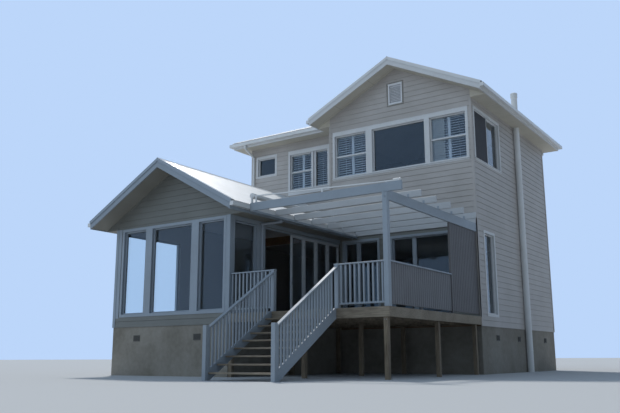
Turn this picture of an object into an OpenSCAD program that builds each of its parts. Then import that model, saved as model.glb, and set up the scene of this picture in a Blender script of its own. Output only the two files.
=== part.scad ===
// Weatherboard beach house: a two-storey gabled block, a hipped left section beside it,
// a glazed single-storey wing in front, and a timber deck with pergola, screens and stair.
// Millimetres, +Z up. The front faces -Y. The origin is on the ground below the middle of the house.

/* [Two-storey block] */
// Width of the gabled block, outside the walls
main_w = 4800; // [4400:50:5400]
// Depth of the block from front wall to rear wall, outside
main_d = 6650; // [6000:50:7600]
// Pitch of the gabled roof in degrees
main_pitch = 26; // [24:0.5:30]
// Level of the upper eaves soffit above the ground floor
main_soffit = 6265; // [6150:5:6500]
// Overhang of the front gable, wall to barge board face
main_rake = 500; // [300:10:650]

/* [Left upper section] */
// Setback of its front wall behind the block's front wall
left_setback = 800; // [600:10:1100]
// Pitch of its hipped roof in degrees
left_pitch = 22; // [18:0.5:22]

/* [Wing] */
// Width of the single-storey wing, outside the walls
wing_w = 4180; // [3900:20:4600]
// Projection of the wing in front of the block's front wall
wing_l = 5220; // [4800:20:5800]
// Distance by which the wing's right wall stands inside the block's left wall line
wing_lap = 330; // [250:10:500]
// Pitch of the wing roof in degrees
wing_pitch = 29; // [26:0.5:31]
// Level of the wing's eaves soffit above the ground floor
wing_soffit = 2490; // [2450:5:2560]
// Overhang of the wing's gable, wall to barge board face
wing_rake = 600; // [400:10:700]

/* [Storeys and walls] */
// Thickness of the framed outer walls
wall_t = 150; // [110:5:200]
// Thickness of the ground floor with its bearers
floor_t = 250; // [200:10:300]
// Height of the ground-floor walls
ground_h = 2700; // [2650:10:2800]
// Thickness of the upper floor
upper_floor_t = 300; // [240:10:340]
// Thickness of the base walls under the house
base_t = 230; // [180:10:300]

/* [Roof edges] */
// Overhang of the eaves, wall to fascia face
eave = 485; // [350:5:520]
// Vertical thickness of roof sheet and battens
roof_t = 60; // [40:5:90]
// Rise of the roof surface above the soffit at the fascia
fascia_h = 235; // [200:5:260]
// Thickness of fascia and barge boards
fascia_t = 30; // [20:1:40]
// Thickness of the soffit lining
lining_t = 12; // [9:1:18]
// Width of the gutter
gutter_w = 115; // [90:5:140]
// Height of the gutter
gutter_h = 100; // [75:5:115]
// Thickness of the gutter's sheet as drawn
gutter_t = 6; // [4:1:10]
// Width of the capping over ridges and hips
cap_w = 260; // [180:10:320]
// Rise of the capping above the roof surface
cap_t = 30; // [20:1:40]

/* [Windows and doors] */
// Width of the flat trim boards round windows
trim_w = 65; // [50:5:70]
// Height of the head boards over the larger upper windows
head_w = 120; // [90:5:140]
// Distance by which trim boards stand proud of the wall
trim_t = 24; // [18:1:35]
// Distance of the window frames behind the outside of the wall
reveal = 45; // [30:5:55]
// Face width of sash and door frame members
sash_w = 48; // [40:2:56]
// Depth of sash and door frame members
sash_d = 45; // [35:5:60]
// Thickness of the glass
glass_t = 8; // [6:1:12]
// Head of the ground-floor windows and doors
ground_head = 2385; // [2300:5:2400]
// Height of the threshold under full-height glazing
sill_h = 90; // [60:5:150]

/* [Shutters and doors] */
// Width of the shutter blades
blade_w = 70; // [60:2:74]
// Thickness of the shutter blades
blade_t = 9; // [7:1:12]
// Spacing of the shutter blades
blade_pitch = 66; // [62:1:76]
// Tilt of the shutter blades that stand open, in degrees
blade_tilt = 5; // [0:5:30]
// Face width of shutter stiles
shutter_w = 42; // [35:1:55]
// Number of glazed leaves that close the wing's side
leaves = 4; // [3:1:5]
// Width left open at the end of the row of leaves
door_gap = 1230; // [900:10:1300]
// Face width of the stiles of a door leaf
stile_w = 70; // [55:5:80]
// Height of the bottom rail of a door leaf
bottom_rail = 110; // [90:5:150]

/* [Deck and stair] */
// Number of risers from ground to deck
risers = 9; // [8:1:10]
// Height of one riser
riser = 170; // [160:5:180]
// Going of one tread
going = 275; // [250:5:300]
// Thickness of the treads
tread_t = 42; // [35:1:50]
// Clear width of the stair between its newels
stair_w = 1700; // [1400:20:1800]
// Distance from the wing wall to the stair's left newel
stair_gap = 1280; // [1100:20:1400]
// Thickness of the deck boards
board_t = 32; // [22:1:40]
// Height of the deck's edge and bearers
bearer_h = 190; // [140:5:240]
// Height of the handrails above the deck
rail_h = 1000; // [950:5:1100]
// Width of the flat handrail
rail_w = 90; // [70:5:110]
// Thickness of the flat handrail
rail_t = 32; // [25:1:42]
// Side of the square newels
newel = 100; // [80:5:120]
// Side of the square balusters
baluster = 38; // [30:1:44]
// Spacing of the balusters, centre to centre
baluster_pitch = 132; // [115:1:140]

/* [Pergola and screens] */
// Side of the square corner post
post = 120; // [100:5:140]
// Level of the top of the side beam, on which the rafters lie, above the deck
beam_top = 2555; // [2520:5:2600]
// Depth of the side beam
beam_h = 230; // [180:5:240]
// Thickness of the pergola beams
beam_t = 55; // [45:1:70]
// Distance by which the front beam reaches below the rafters
front_drop = 45; // [30:5:80]
// Depth of the rafters
rafter_h = 160; // [120:5:170]
// Thickness of the rafters
rafter_t = 45; // [38:1:60]
// Spacing of the rafters, centre to centre
rafter_pitch = 825; // [700:5:900]
// Run of the rafters past the side beam
rafter_out = 300; // [200:10:400]
// Length of the full-height screen beside the house wall
screen_l = 1800; // [1400:50:2300]
// Thickness of the boarding in the screens
screen_t = 20; // [15:1:28]
// Gap below the boarding of the screens
screen_gap = 60; // [40:5:90]
// Diameter of the round shade cassette
cassette_d = 140; // [110:5:160]
// Level of the cassette's centre above the deck
cassette_z = 2900; // [2850:5:2950]

/* [Pipes and vent] */
// Diameter of the downpipes
pipe_d = 80; // [60:5:90]
// Diameter of the flue pipe on the right wall
flue_d = 195; // [160:5:210]
// Diameter of the flue's cowl
cowl_d = 225; // [215:5:250]
// Rise of the flue's top above the eaves
flue_rise = 1000; // [900:20:1300]
// Distance of the flue behind the block's front wall
flue_y = 3650; // [3000:20:4800]
// Spacing of the gable vent's blades
vent_pitch = 50; // [45:1:60]

/* [Hidden] */

// Levels, measured from the ground floor
deck_h = risers * riser;
upper_z = ground_h + upper_floor_t;

// Wall lines in plan, measured from the block's ridge line and front wall
main_x = main_w / 2;
wing_right = -main_x + wing_lap;
wing_left = wing_right - wing_w;
left_x = wing_left;
wing_ridge_x = wing_right - wing_w / 2;
wing_front = -wing_l;

// Roof surfaces: height of the eaves edge, of the ridge, and of the wall tops that meet them
main_edge = main_soffit + fascia_h;
main_ridge = main_edge + tan(main_pitch) * (main_x + eave);
main_top = main_edge + tan(main_pitch) * eave - roof_t;
left_mid = (left_setback + main_d) / 2;
left_half = left_mid - left_setback + eave;
left_ridge = main_edge + tan(left_pitch) * left_half;
left_top = main_edge + tan(left_pitch) * eave - roof_t;
wing_edge = wing_soffit + fascia_h;
wing_ridge = wing_edge + tan(wing_pitch) * (wing_w / 2 + eave);
wing_top = wing_edge + tan(wing_pitch) * eave - roof_t;

// The origin lies below the middle of the outline, gutters and stair foot included
stair_foot = wing_front - (risers - 1) * going;
outline_x = [wing_left - eave - gutter_w, main_x + eave + gutter_w];
outline_y = [stair_foot - newel, main_d + eave + gutter_w];
origin = [(outline_x[0] + outline_x[1]) / 2, (outline_y[0] + outline_y[1]) / 2, -deck_h];

// Colours
board_grey = [0.62, 0.61, 0.58];
trim_white = [0.93, 0.93, 0.91];
roof_white = [0.88, 0.89, 0.88];
timber = [0.50, 0.45, 0.38];
glazing = [0.35, 0.45, 0.55, 0.4];
brick = [0.42, 0.40, 0.38];

// Places on the gabled front and on the deck's wall as shares of their width
function across(share) = share * main_x;
function along_deck(share) = wing_right + share * (main_x - wing_right);

// Openings, each [from, to, sill, head] along its wall, front walls counted along X
front_windows = [[across(-0.927), across(-0.442), 4500, 5890],
  [across(-0.3583), across(0.3938), 4500, 5890], [across(0.4521), across(0.9333), 4500, 5890]];
left_small = [left_x + 255, left_x + 1040, 5250, 5905];
left_large = [-main_x - 2175, -main_x - 240, 4565, 5840];
left_foot = 180;
vent_hole = [-233, 233, 6550, 7205];
deck_windows = [[along_deck(0.036), along_deck(0.3), sill_h, ground_head],
  [along_deck(0.4074), along_deck(0.811), sill_h, ground_head]];
deck_mullions = [along_deck(0.1434), along_deck(0.5651)];

// Openings in side walls, counted along the wall from the left as seen from outside
door_hole = [-0.728 * wing_l, 0, 0, ground_head];
wing_side_hole = [wall_t + 5 - wing_l, -0.791 * wing_l, sill_h, ground_head];
wing_left_hole = [0.546 * wing_l, 0.95 * wing_l, sill_h, ground_head];
side_pair = [179, 2166, 4498, 5978];
side_slot = [520, 1270, sill_h, ground_head];
rear_low = [[across(-0.625), across(-0.125), 900, ground_head],
  [-0.528 * left_x, -0.72 * left_x, 900, ground_head]];
rear_high = [[across(-0.625), across(-0.125), 4270, 5915],
  [-0.528 * left_x, -0.72 * left_x, 4270, 5915]];

// Row of glazed leaves in the wing's doorway
leaf_from = door_hole[0] + sash_w + door_gap;
leaf_w = (door_hole[1] - leaf_from) / leaves;
door_head = ground_head - sash_w;

// Front panes of the wing between their four posts, left to right
wing_posts = [290, 228, 232, 182];
wing_glass_w = wing_w - wing_posts[0] - wing_posts[1] - wing_posts[2] - wing_posts[3];
narrow_pane = wing_glass_w * 0.272;
wide_pane = wing_glass_w - 2 * narrow_pane;
wing_head = ground_head + 30;
pane_1 = wing_left + wing_posts[0];
pane_2 = pane_1 + narrow_pane + wing_posts[1];
pane_3 = pane_2 + wide_pane + wing_posts[2];
wing_panes = [[pane_1, pane_1 + narrow_pane, sill_h, wing_head],
  [pane_2, pane_2 + wide_pane, sill_h, wing_head],
  [pane_3, pane_3 + narrow_pane, sill_h, wing_head]];

// Basic placing

// Moves the house from its wall lines to the part's origin
module placed() translate(-origin) children();

// A box between two limits on each axis
module block(x, y, z) translate([x[0], y[0], z[0]]) cube([x[1] - x[0], y[1] - y[0], z[1] - z[0]]);

// The outside of a wall as a drawing plane: X runs along it, -Y points outdoors
module on_right(x) translate([x, 0, 0]) rotate(90) children();
module on_left(x) translate([x, 0, 0]) rotate(-90) children();
module on_rear(y) translate([0, y, 0]) rotate(180) children();
module on_front(y) translate([0, y, 0]) children();

// A wall panel with openings cut through it
module wall(span, levels, holes = []) difference() {
  block(span, [0, wall_t], levels);
  for (h = holes) block([h[0], h[1]], [-1, wall_t + 1], [h[2], h[3]]);
}

// A wall panel with a pointed top, cut through by openings
module gable_wall(outline, holes = []) difference() {
  translate([0, wall_t, 0]) rotate([90, 0, 0]) linear_extrude(wall_t) polygon(outline);
  for (h = holes) block([h[0], h[1]], [-1, wall_t + 1], [h[2], h[3]]);
}

// Flat trim boards round one opening or a row of openings, on the outside of the wall
module trim_boards(holes, head = trim_w, foot = trim_w) difference() {
  first = holes[0];
  last = holes[len(holes) - 1];
  block([first[0] - trim_w, last[1] + trim_w], [-trim_t, 0], [first[2] - foot, first[3] + head]);
  for (h = holes) block([h[0], h[1]], [-trim_t - 1, 1], [h[2], h[3]]);
}

// A frame that fills an opening, with mullions and transoms centred on given lines, and a lining
// that covers the cut edge of the wall in front of it
module frame(h, mullions = [], transoms = [], width = sash_w) {
  y = [reveal, reveal + sash_d];
  edge = sash_w / 4;
  difference() {
    block([h[0], h[1]], [-trim_t, reveal + 1], [h[2], h[3]]);
    block([h[0] + edge, h[1] - edge], [-trim_t - 1, reveal + 2], [h[2] + edge, h[3] - edge]);
  }
  difference() {
    block([h[0], h[1]], y, [h[2], h[3]]);
    block([h[0] + sash_w, h[1] - sash_w], [y[0] - 1, y[1] + 1], [h[2] + sash_w, h[3] - sash_w]);
  }
  for (m = mullions) block([m - width / 2, m + width / 2], y, [h[2] + sash_w / 2, h[3] - sash_w / 2]);
  for (t = transoms) block([h[0] + sash_w / 2, h[1] - sash_w / 2], y, [t - sash_w / 2, t + sash_w / 2]);
}

// A frame with its trim boards
module window(h, mullions = [], transoms = [], width = sash_w) {
  trim_boards([h]);
  frame(h, mullions, transoms, width);
}

// The sheet of glass behind a frame
module pane(h) block([h[0], h[1]], [reveal + sash_d, reveal + sash_d + glass_t], [h[2], h[3]]);

// Base and floors

module base_walls() color(brick) placed() difference() {
  union() {
    block([left_x, main_x], [left_setback, main_d], [-deck_h, -floor_t]);
    block([wing_right - base_t, main_x], [0, main_d], [-deck_h, -floor_t]);
    block([wing_left, wing_right], [wing_front, left_setback + base_t], [-deck_h, -floor_t]);
  }
  block([left_x + base_t, main_x - base_t], [left_setback + base_t, main_d - base_t], [-deck_h - 1, 0]);
  block([wing_right, main_x - base_t], [base_t, main_d - base_t], [-deck_h - 1, 0]);
  block([wing_left + base_t, wing_right - base_t], [wing_front + base_t, left_setback], [-deck_h - 1, 0]);
}

module ground_floor() color(timber) placed() union() {
  block([left_x, main_x], [left_setback, main_d], [-floor_t, 0]);
  block([wing_right, main_x], [0, main_d], [-floor_t, 0]);
  block([wing_left, wing_right], [wing_front, left_setback], [-floor_t, 0]);
}

module upper_floor() color(board_grey) placed() union() {
  block([left_x, main_x], [left_setback, main_d], [ground_h, upper_z]);
  block([-main_x, main_x], [0, main_d], [ground_h, upper_z]);
}

// Ground-floor walls

wing_half = wing_w / 2;
wing_apex = wing_top + tan(wing_pitch) * wing_half;

module wing_front_wall() color(board_grey) placed() on_front(wing_front)
  gable_wall([[wing_left, 0], [wing_right, 0], [wing_right, wing_top], [wing_ridge_x, wing_apex],
    [wing_left, wing_top]], wing_panes);

module wing_right_wall() color(board_grey) placed() on_right(wing_right)
  wall([wing_front + wall_t, 0], [0, wing_top], [door_hole, wing_side_hole]);

module wing_left_wall() color(board_grey) placed() on_left(wing_left)
  wall([-left_setback, wing_l - wall_t], [0, wing_top], [wing_left_hole]);

module left_side_wall() color(board_grey) placed() on_left(left_x)
  wall([-main_d + wall_t, -left_setback], [0, ground_h]);

module ground_rear_wall() color(board_grey) placed() on_rear(main_d)
  wall([-main_x, -left_x], [0, ground_h], rear_low);

module ground_right_wall() color(board_grey) placed() on_right(main_x)
  wall([wall_t, main_d - wall_t], [0, ground_h], [side_slot]);

module deck_wall() color(board_grey) placed() on_front(0)
  wall([wing_right, main_x], [0, ground_h], deck_windows);

// Upper walls

main_apex = main_top + tan(main_pitch) * main_x;

module upper_front_wall() color(board_grey) placed() on_front(0)
  gable_wall([[-main_x, upper_z], [main_x, upper_z], [main_x, main_top], [0, main_apex],
    [-main_x, main_top]], concat(front_windows, [vent_hole]));

module upper_right_wall() color(board_grey) placed() on_right(main_x)
  wall([wall_t, main_d - wall_t], [upper_z, main_top], [side_pair]);

module upper_rear_wall() color(board_grey) placed() on_rear(main_d) {
  wall([-main_x, main_x], [upper_z, main_top], [rear_high[0]]);
  wall([main_x, -left_x], [upper_z, left_top], [rear_high[1]]);
}

// The left section's front and side walls, and the block's side where it stands forward of them
module upper_left_walls() color(board_grey) placed() union() {
  on_front(left_setback) wall([left_x, -main_x], [upper_z, left_top], [left_small, left_large]);
  on_left(left_x) wall([-main_d + wall_t, -left_setback - wall_t], [upper_z, left_top]);
  block([-main_x, -main_x + wall_t], [wall_t, left_setback + wall_t], [upper_z, main_top]);
}

// Roofs

// Outline of the gabled roof, hipped at the rear, lowered by a drop and cut off at the soffit
module main_roof_form(drop, low) intersection() {
  translate([0, main_d + eave, 0]) rotate([90, 0, 0]) linear_extrude(main_d + eave + main_rake)
    polygon([[-main_x - eave, low], [main_x + eave, low], [main_x + eave, main_edge - drop],
      [0, main_ridge - drop], [-main_x - eave, main_edge - drop]]);
  translate([-main_x - eave, 0, 0]) rotate([90, 0, 90]) linear_extrude(main_w + 2 * eave)
    polygon([[-main_rake, low], [main_d + eave, low], [main_d + eave, main_edge - drop],
      [main_d - main_x, main_ridge - drop], [-main_rake, main_ridge - drop]]);
}

// Outline of the hipped roof of the left section, lowered by a drop
module left_roof_form(drop, low) intersection() {
  translate([left_x - eave, 0, 0]) rotate([90, 0, 90]) linear_extrude(eave - left_x)
    polygon([[left_setback - eave, low], [main_d + eave, low], [main_d + eave, main_edge - drop],
      [left_mid, left_ridge - drop], [left_setback - eave, main_edge - drop]]);
  translate([0, main_d + eave, 0]) rotate([90, 0, 0]) linear_extrude(main_d + eave)
    polygon([[left_x - eave, low], [0, low], [0, left_ridge - drop],
      [left_x - eave + left_half, left_ridge - drop], [left_x - eave, main_edge - drop]]);
}

// Where the flue passes the roof and its lining
flue_x = main_x + flue_d / 2;
module flue_hole() translate([flue_x, flue_y, 0]) cylinder(d = flue_d + 1, h = main_ridge);

module main_roof() color(roof_white) placed() difference() {
  union() {
    main_roof_form(0, main_edge - roof_t);
    left_roof_form(0, main_edge - roof_t);
  }
  main_roof_form(roof_t, main_edge - 3 * roof_t);
  left_roof_form(roof_t, main_edge - 3 * roof_t);
  flue_hole();
}

// Outline of the wing's gabled roof, from the front barge board to the upper walls behind it
module wing_roof_form(drop, low, back) translate([0, back, 0]) rotate([90, 0, 0])
  linear_extrude(back + wing_l + wing_rake)
    polygon([[wing_left - eave, low], [wing_right + eave, low], [wing_right + eave, wing_edge - drop],
      [wing_ridge_x, wing_ridge - drop], [wing_left - eave, wing_edge - drop]]);

module wing_roof() color(roof_white) placed() difference() {
  wing_roof_form(0, wing_edge - roof_t, left_setback);
  wing_roof_form(roof_t, wing_edge - 3 * roof_t, left_setback + 1);
  block([-main_x, 0], [0, left_setback + 1], [0, wing_ridge]);
}

// A board that follows a roof slope, seen from the front: runs between two X lines
module barge(x_low, z_low, x_high, z_high, depth) rotate([90, 0, 0]) linear_extrude(fascia_t)
  polygon([[x_low, z_low], [x_high, z_high], [x_high, z_high - depth], [x_low, z_low - depth]]);

// Boards stop this far below the roof surface, under the roof sheet
under = roof_t;

module upper_fascias() color(trim_white) placed() union() {
  barge_z = main_edge - under;
  z = [main_soffit, barge_z];
  translate([0, -main_rake + fascia_t, 0]) for (s = [-1, 1]) barge(s * (main_x + eave), barge_z,
    0, main_ridge - under, fascia_h - under);
  block([main_x + eave - fascia_t, main_x + eave], [-main_rake, main_d + eave], z);
  block([left_x - eave, main_x + eave], [main_d + eave - fascia_t, main_d + eave], z);
  block([left_x - eave, left_x - eave + fascia_t], [left_setback - eave, main_d + eave], z);
  block([left_x - eave, -main_x - eave + fascia_t], [left_setback - eave, left_setback - eave + fascia_t], z);
  block([-main_x - eave, -main_x - eave + fascia_t], [-main_rake, left_setback - eave + fascia_t], z);
}

module wing_fascias() color(trim_white) placed() union() {
  low = wing_edge - under;
  translate([0, wing_front - wing_rake + fascia_t, 0]) for (s = [-1, 1])
    barge(wing_ridge_x + s * (wing_half + eave), low, wing_ridge_x, wing_ridge - under, fascia_h - under);
  block([wing_right + eave - fascia_t, wing_right + eave], [wing_front - wing_rake, 0], [wing_soffit, low]);
  block([wing_left - eave, wing_left - eave + fascia_t], [wing_front - wing_rake, left_setback],
    [wing_soffit, low]);
}

// Lining under one slope of a gable's overhang, from the eaves to the ridge
module rake_lining(x_edge, z_edge, x_ridge, z_ridge, length) rotate([90, 0, 0]) linear_extrude(length)
  polygon([[x_edge, z_edge], [x_ridge, z_ridge], [x_ridge, z_ridge + lining_t],
    [x_edge, z_edge + lining_t]]);

module soffits() color(board_grey) placed() {
  z = [main_soffit, main_soffit + lining_t];
  inner = eave - fascia_t;
  difference() {
    union() {
      block([main_x, main_x + inner], [0, main_d + inner], z);
      block([left_x - inner, main_x + 1], [main_d, main_d + inner], z);
      block([left_x - inner, left_x], [left_setback - inner, main_d + 1], z);
      block([left_x - inner, -main_x], [left_setback - inner, left_setback], z);
      block([-main_x - inner, -main_x], [0, left_setback], z);
      for (s = [-1, 1]) rake_lining(s * (main_x + inner), main_soffit + tan(main_pitch) * fascia_t,
        0, main_ridge - fascia_h, main_rake - fascia_t);
    }
    flue_hole();
  }
  zw = [wing_soffit, wing_soffit + lining_t];
  block([wing_right, wing_right + inner], [wing_front, 0], zw);
  block([wing_left - inner, wing_left], [wing_front, left_setback], zw);
  translate([0, wing_front, 0]) for (s = [-1, 1]) rake_lining(wing_ridge_x + s * (wing_half + inner),
    wing_soffit + tan(wing_pitch) * fascia_t, wing_ridge_x, wing_ridge - fascia_h, wing_rake - fascia_t);
}

// A gutter seen from its end: open on top, its back against the fascia, running along Y
module gutter(length) translate([0, length, 0]) rotate([90, 0, 0]) linear_extrude(length) difference() {
  square([gutter_w, gutter_h]);
  translate([gutter_t, gutter_t]) square([gutter_w - 2 * gutter_t, gutter_h]);
}

module upper_gutters() color(trim_white) placed() union() {
  top = main_edge - under - gutter_h;
  front = left_setback - eave;
  translate([main_x + eave, -main_rake, top]) gutter(main_d + eave + main_rake + gutter_w);
  translate([main_x + eave + gutter_w, main_d + eave, top]) rotate(90)
    gutter(main_x - left_x + 2 * eave + 2 * gutter_w);
  translate([left_x - eave, front - gutter_w, top]) mirror([1, 0, 0])
    gutter(main_d - left_setback + 2 * eave + 2 * gutter_w);
  translate([left_x - eave - gutter_w, front, top]) rotate(-90)
    gutter(left_x * -1 - main_x);
  translate([-main_x - eave, -main_rake, top]) mirror([1, 0, 0]) gutter(front + main_rake);
}

module wing_gutters() color(trim_white) placed() {
  top = wing_edge - under - gutter_h;
  translate([wing_right + eave, wing_front - wing_rake, top]) gutter(wing_l + wing_rake);
  translate([wing_left - eave, wing_front - wing_rake, top]) mirror([1, 0, 0])
    gutter(wing_l + wing_rake + left_setback);
}

// A round rod from one point to another
module rod(a, b, d) {
  v = b - a;
  l = norm(v);
  translate(a) rotate([0, acos(v[2] / l), atan2(v[1], v[0])]) cylinder(d = d, h = l, $fn = 24);
}

// A vertical strip over the line between two points in plan
module strip(a, b, d, h) translate([a[0], a[1], 0]) rotate(atan2(b[1] - a[1], b[0] - a[0]))
  block([0, norm(b - a)], [-d / 2, d / 2], h);

// Capping folded over ridges and hips: the roof surface raised by the cap, cut to strips
module ridge_caps() color(roof_white) placed() {
  z = [main_edge - roof_t, main_ridge + 2 * cap_t];
  end = [0, main_d - main_x];
  left_end = [left_x - eave + left_half, left_mid];
  difference() {
    union() {
      intersection() {
        main_roof_form(-cap_t, main_edge);
        union() {
          strip([0, -main_rake], end, cap_w, z);
          strip(end, [main_x + eave, main_d + eave], cap_w, z);
        }
      }
      intersection() {
        left_roof_form(-cap_t, main_edge);
        union() {
          strip(left_end, [0, left_mid], cap_w, z);
          strip(left_end, [left_x - eave, left_setback - eave], cap_w, z);
          strip(left_end, [left_x - eave, main_d + eave], cap_w, z);
        }
      }
    }
    main_roof_form(0, main_soffit);
    left_roof_form(0, main_soffit);
  }
  difference() {
    intersection() {
      wing_roof_form(-cap_t, wing_edge, left_setback);
      strip([wing_ridge_x, wing_front - wing_rake], [wing_ridge_x, left_setback], cap_w,
        [wing_edge, wing_ridge + 2 * cap_t]);
    }
    wing_roof_form(0, wing_soffit, left_setback + 1);
  }
}

// A pipe through a list of points, with bends in round sockets
module pipe(points) for (i = [1:len(points) - 1]) {
  rod(points[i - 1], points[i], pipe_d);
  if (i < len(points) - 1) translate(points[i]) sphere(d = pipe_d + 10, $fn = 24);
}

module downpipes() color(trim_white) placed() {
  r = pipe_d / 2;
  wing_x = wing_right + eave + gutter_w / 2;
  wing_y = (door_hole[0] + wing_side_hole[1]) / 2;
  out = wing_edge - under - gutter_h;
  elbow = out - wing_soffit + pipe_d / 2;
  pipe([[wing_x, wing_y + 2 * pipe_d, out], [wing_x, wing_y + 2 * pipe_d, out - elbow],
    [wing_right + r, wing_y, out - elbow - r], [wing_right + r, wing_y, 0]]);
  high = main_edge - under - gutter_h;
  drop = high - main_soffit + pipe_d / 2;
  offset = (eave + gutter_w / 2 - r) / 2;
  corner_x = left_x + 90;
  pipe([[corner_x, left_setback - eave - gutter_w / 2, high],
    [corner_x, left_setback - eave - gutter_w / 2, high - drop],
    [corner_x, left_setback - r, high - drop - offset],
    [corner_x, left_setback - r, wing_edge + tan(wing_pitch) * (corner_x + r - wing_left + eave)]]);
  pipe([[main_x - 120, main_d + eave + gutter_w / 2, high],
    [main_x - 120, main_d + eave + gutter_w / 2, high - drop],
    [main_x - 120, main_d + r, high - drop - offset], [main_x - 120, main_d + r, -deck_h]]);
}

// Flue up the right wall, through the eaves, with a cowl above the roof
flue_top = main_edge + flue_rise;
module flue_pipe() color(trim_white) placed() translate([flue_x, flue_y, 0]) union() {
  translate([0, 0, -deck_h]) cylinder(d = flue_d, h = flue_top + deck_h - 60, $fn = 32);
  translate([0, 0, flue_top - 240]) cylinder(d1 = cowl_d * 0.8, d2 = cowl_d, h = 60, $fn = 32);
  translate([0, 0, flue_top - 180]) cylinder(d = cowl_d, h = 140, $fn = 32);
  translate([0, 0, flue_top - 40]) cylinder(d1 = cowl_d, d2 = cowl_d * 0.3, h = 40, $fn = 32);
}

// Louvred vent in the front gable, closed behind its blades
module gable_vent() color(trim_white) placed() union() {
  h = vent_hole;
  difference() {
    block([h[0], h[1]], [-trim_t, 70], [h[2], h[3]]);
    block([h[0] + 35, h[1] - 35], [-trim_t - 1, 71], [h[2] + 35, h[3] - 35]);
  }
  block([h[0] + 34, h[1] - 34], [58, 69], [h[2] + 34, h[3] - 34]);
  for (z = [h[2] + 75:vent_pitch:h[3] - 70]) translate([0, 22, z]) rotate([40, 0, 0])
    block([h[0] + 34, h[1] - 34], [-42, 42], [-5, 5]);
}

// Window and door frames

module wing_front_frames() color(trim_white) placed() on_front(wing_front) {
  trim_boards(wing_panes);
  for (h = wing_panes) frame(h);
}

module wing_side_frames() color(trim_white) placed() {
  on_right(wing_right) {
    window(wing_side_hole);
    difference() {
      block([door_hole[0], door_hole[1]], [reveal, reveal + sash_d], [0, ground_head]);
      block([door_hole[0] + sash_w, door_hole[1] + 1], [reveal - 1, reveal + sash_d + 1], [-1, door_head]);
    }
  }
  on_left(wing_left) window(wing_left_hole, [(wing_left_hole[0] + wing_left_hole[1]) / 2]);
}

// Tall glazed leaves that fold to one end, closed but for the gap beside the jamb
module folding_doors() color(trim_white) placed() on_right(wing_right) for (i = [0:leaves - 1])
  translate([leaf_from + i * leaf_w, 0, 0]) difference() {
    block([0, leaf_w], [reveal, reveal + sash_d], [0, door_head]);
    block([stile_w, leaf_w - stile_w], [reveal - 1, reveal + sash_d + 1], [bottom_rail, door_head - stile_w]);
  }

module deck_wall_frames() color(trim_white) placed() on_front(0) {
  for (i = [0, 1]) window(deck_windows[i], [deck_mullions[i]], [], 130);
}

// Height of the meeting rail shared by sashes and shutters
function meeting(h) = (h[2] + h[3]) / 2;

module upper_front_frames() color(trim_white) placed() on_front(0) {
  trim_boards(front_windows, head_w);
  for (i = [0, 2]) frame(front_windows[i], [], [meeting(front_windows[i])]);
  frame(front_windows[1]);
}

module left_section_frames() color(trim_white) placed() on_front(left_setback) {
  h = left_large;
  mid = (h[0] + h[1]) / 2;
  window(left_small);
  trim_boards([h], head_w, left_foot);
  frame([h[0], mid, h[2], h[3]], [], [meeting(h)]);
  frame([mid, h[1], h[2], h[3]]);
  block([mid - 2 * sash_w, mid + 2 * sash_w], [reveal / 2, reveal + sash_d], [h[2], h[3]]);
}

module side_frames() color(trim_white) placed() on_right(main_x) {
  window(side_pair, [(side_pair[0] + side_pair[1]) / 2 + 90]);
  window(side_slot);
}

module rear_frames() color(trim_white) placed() on_rear(main_d)
  for (h = concat(rear_low, rear_high)) window(h, [], [meeting(h)]);

module ground_glass() color(glazing) placed() {
  on_front(wing_front) for (h = wing_panes) pane(h);
  on_front(0) for (h = deck_windows) pane(h);
  on_right(wing_right) {
    pane(wing_side_hole);
    pane([leaf_from, door_hole[1], 0, door_head]);
  }
  on_left(wing_left) pane(wing_left_hole);
  on_right(main_x) pane(side_slot);
  on_rear(main_d) for (h = rear_low) pane(h);
}

module upper_glass() color(glazing) placed() {
  on_front(0) for (h = front_windows) pane(h);
  on_front(left_setback) for (h = [left_small, left_large]) pane(h);
  on_right(main_x) pane(side_pair);
  on_rear(main_d) for (h = rear_high) pane(h);
}

// One louvred panel: stiles, top, middle and bottom rails, and tilted blades between them
module shutter(x, z, middle, tilt) {
  y = [0, 30];
  rail = 1.5 * shutter_w;
  difference() {
    block(x, y, z);
    block([x[0] + shutter_w, x[1] - shutter_w], [-1, 31], [z[0] + rail, middle - rail / 2]);
    block([x[0] + shutter_w, x[1] - shutter_w], [-1, 31], [middle + rail / 2, z[1] - rail]);
  }
  for (part = [[z[0] + rail, middle - rail / 2], [middle + rail / 2, z[1] - rail]]) {
    count = floor((part[1] - part[0]) / blade_pitch);
    step = (part[1] - part[0]) / count;
    for (i = [0.5:1:count]) translate([0, 15, part[0] + i * step]) rotate([-tilt, 0, 0])
      block([x[0] + shutter_w - 1, x[1] - shutter_w + 1], [-blade_w / 2, blade_w / 2],
        [-blade_t / 2, blade_t / 2]);
  }
}

// Shutter panels inside an opening, side by side: each is given its two ends as shares of the width
module shutters_in(h, panels, tilts) translate([0, reveal + sash_d + glass_t + blade_w / 2, 0])
  for (i = [0:len(panels) - 1]) shutter([h[0] + panels[i][0] * (h[1] - h[0]),
    h[0] + panels[i][1] * (h[1] - h[0])], [h[2], h[3]], meeting(h), tilts[i]);

module window_shutters() color(trim_white) placed() {
  halves = [[0, 0.5], [0.5, 1]];
  on_front(0) {
    shutters_in(front_windows[0], halves, [blade_tilt, blade_tilt]);
    shutters_in(front_windows[2], halves, [60, blade_tilt]);
  }
  on_front(left_setback) shutters_in(left_large, [[0, 0.25], [0.25, 0.5], [0.5, 1]],
    [blade_tilt, blade_tilt, blade_tilt]);
}

// Deck

deck_x = [wing_right, main_x];
deck_low = -board_t - bearer_h;
newel_y = wing_front + 20 + newel / 2;
newel_left = wing_right + stair_gap + newel / 2;
newel_right = newel_left + newel + stair_w;
post_y = newel_y;

module deck_floor() color(timber) placed() block(deck_x, [wing_front, 0], [-board_t, 0]);

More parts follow.
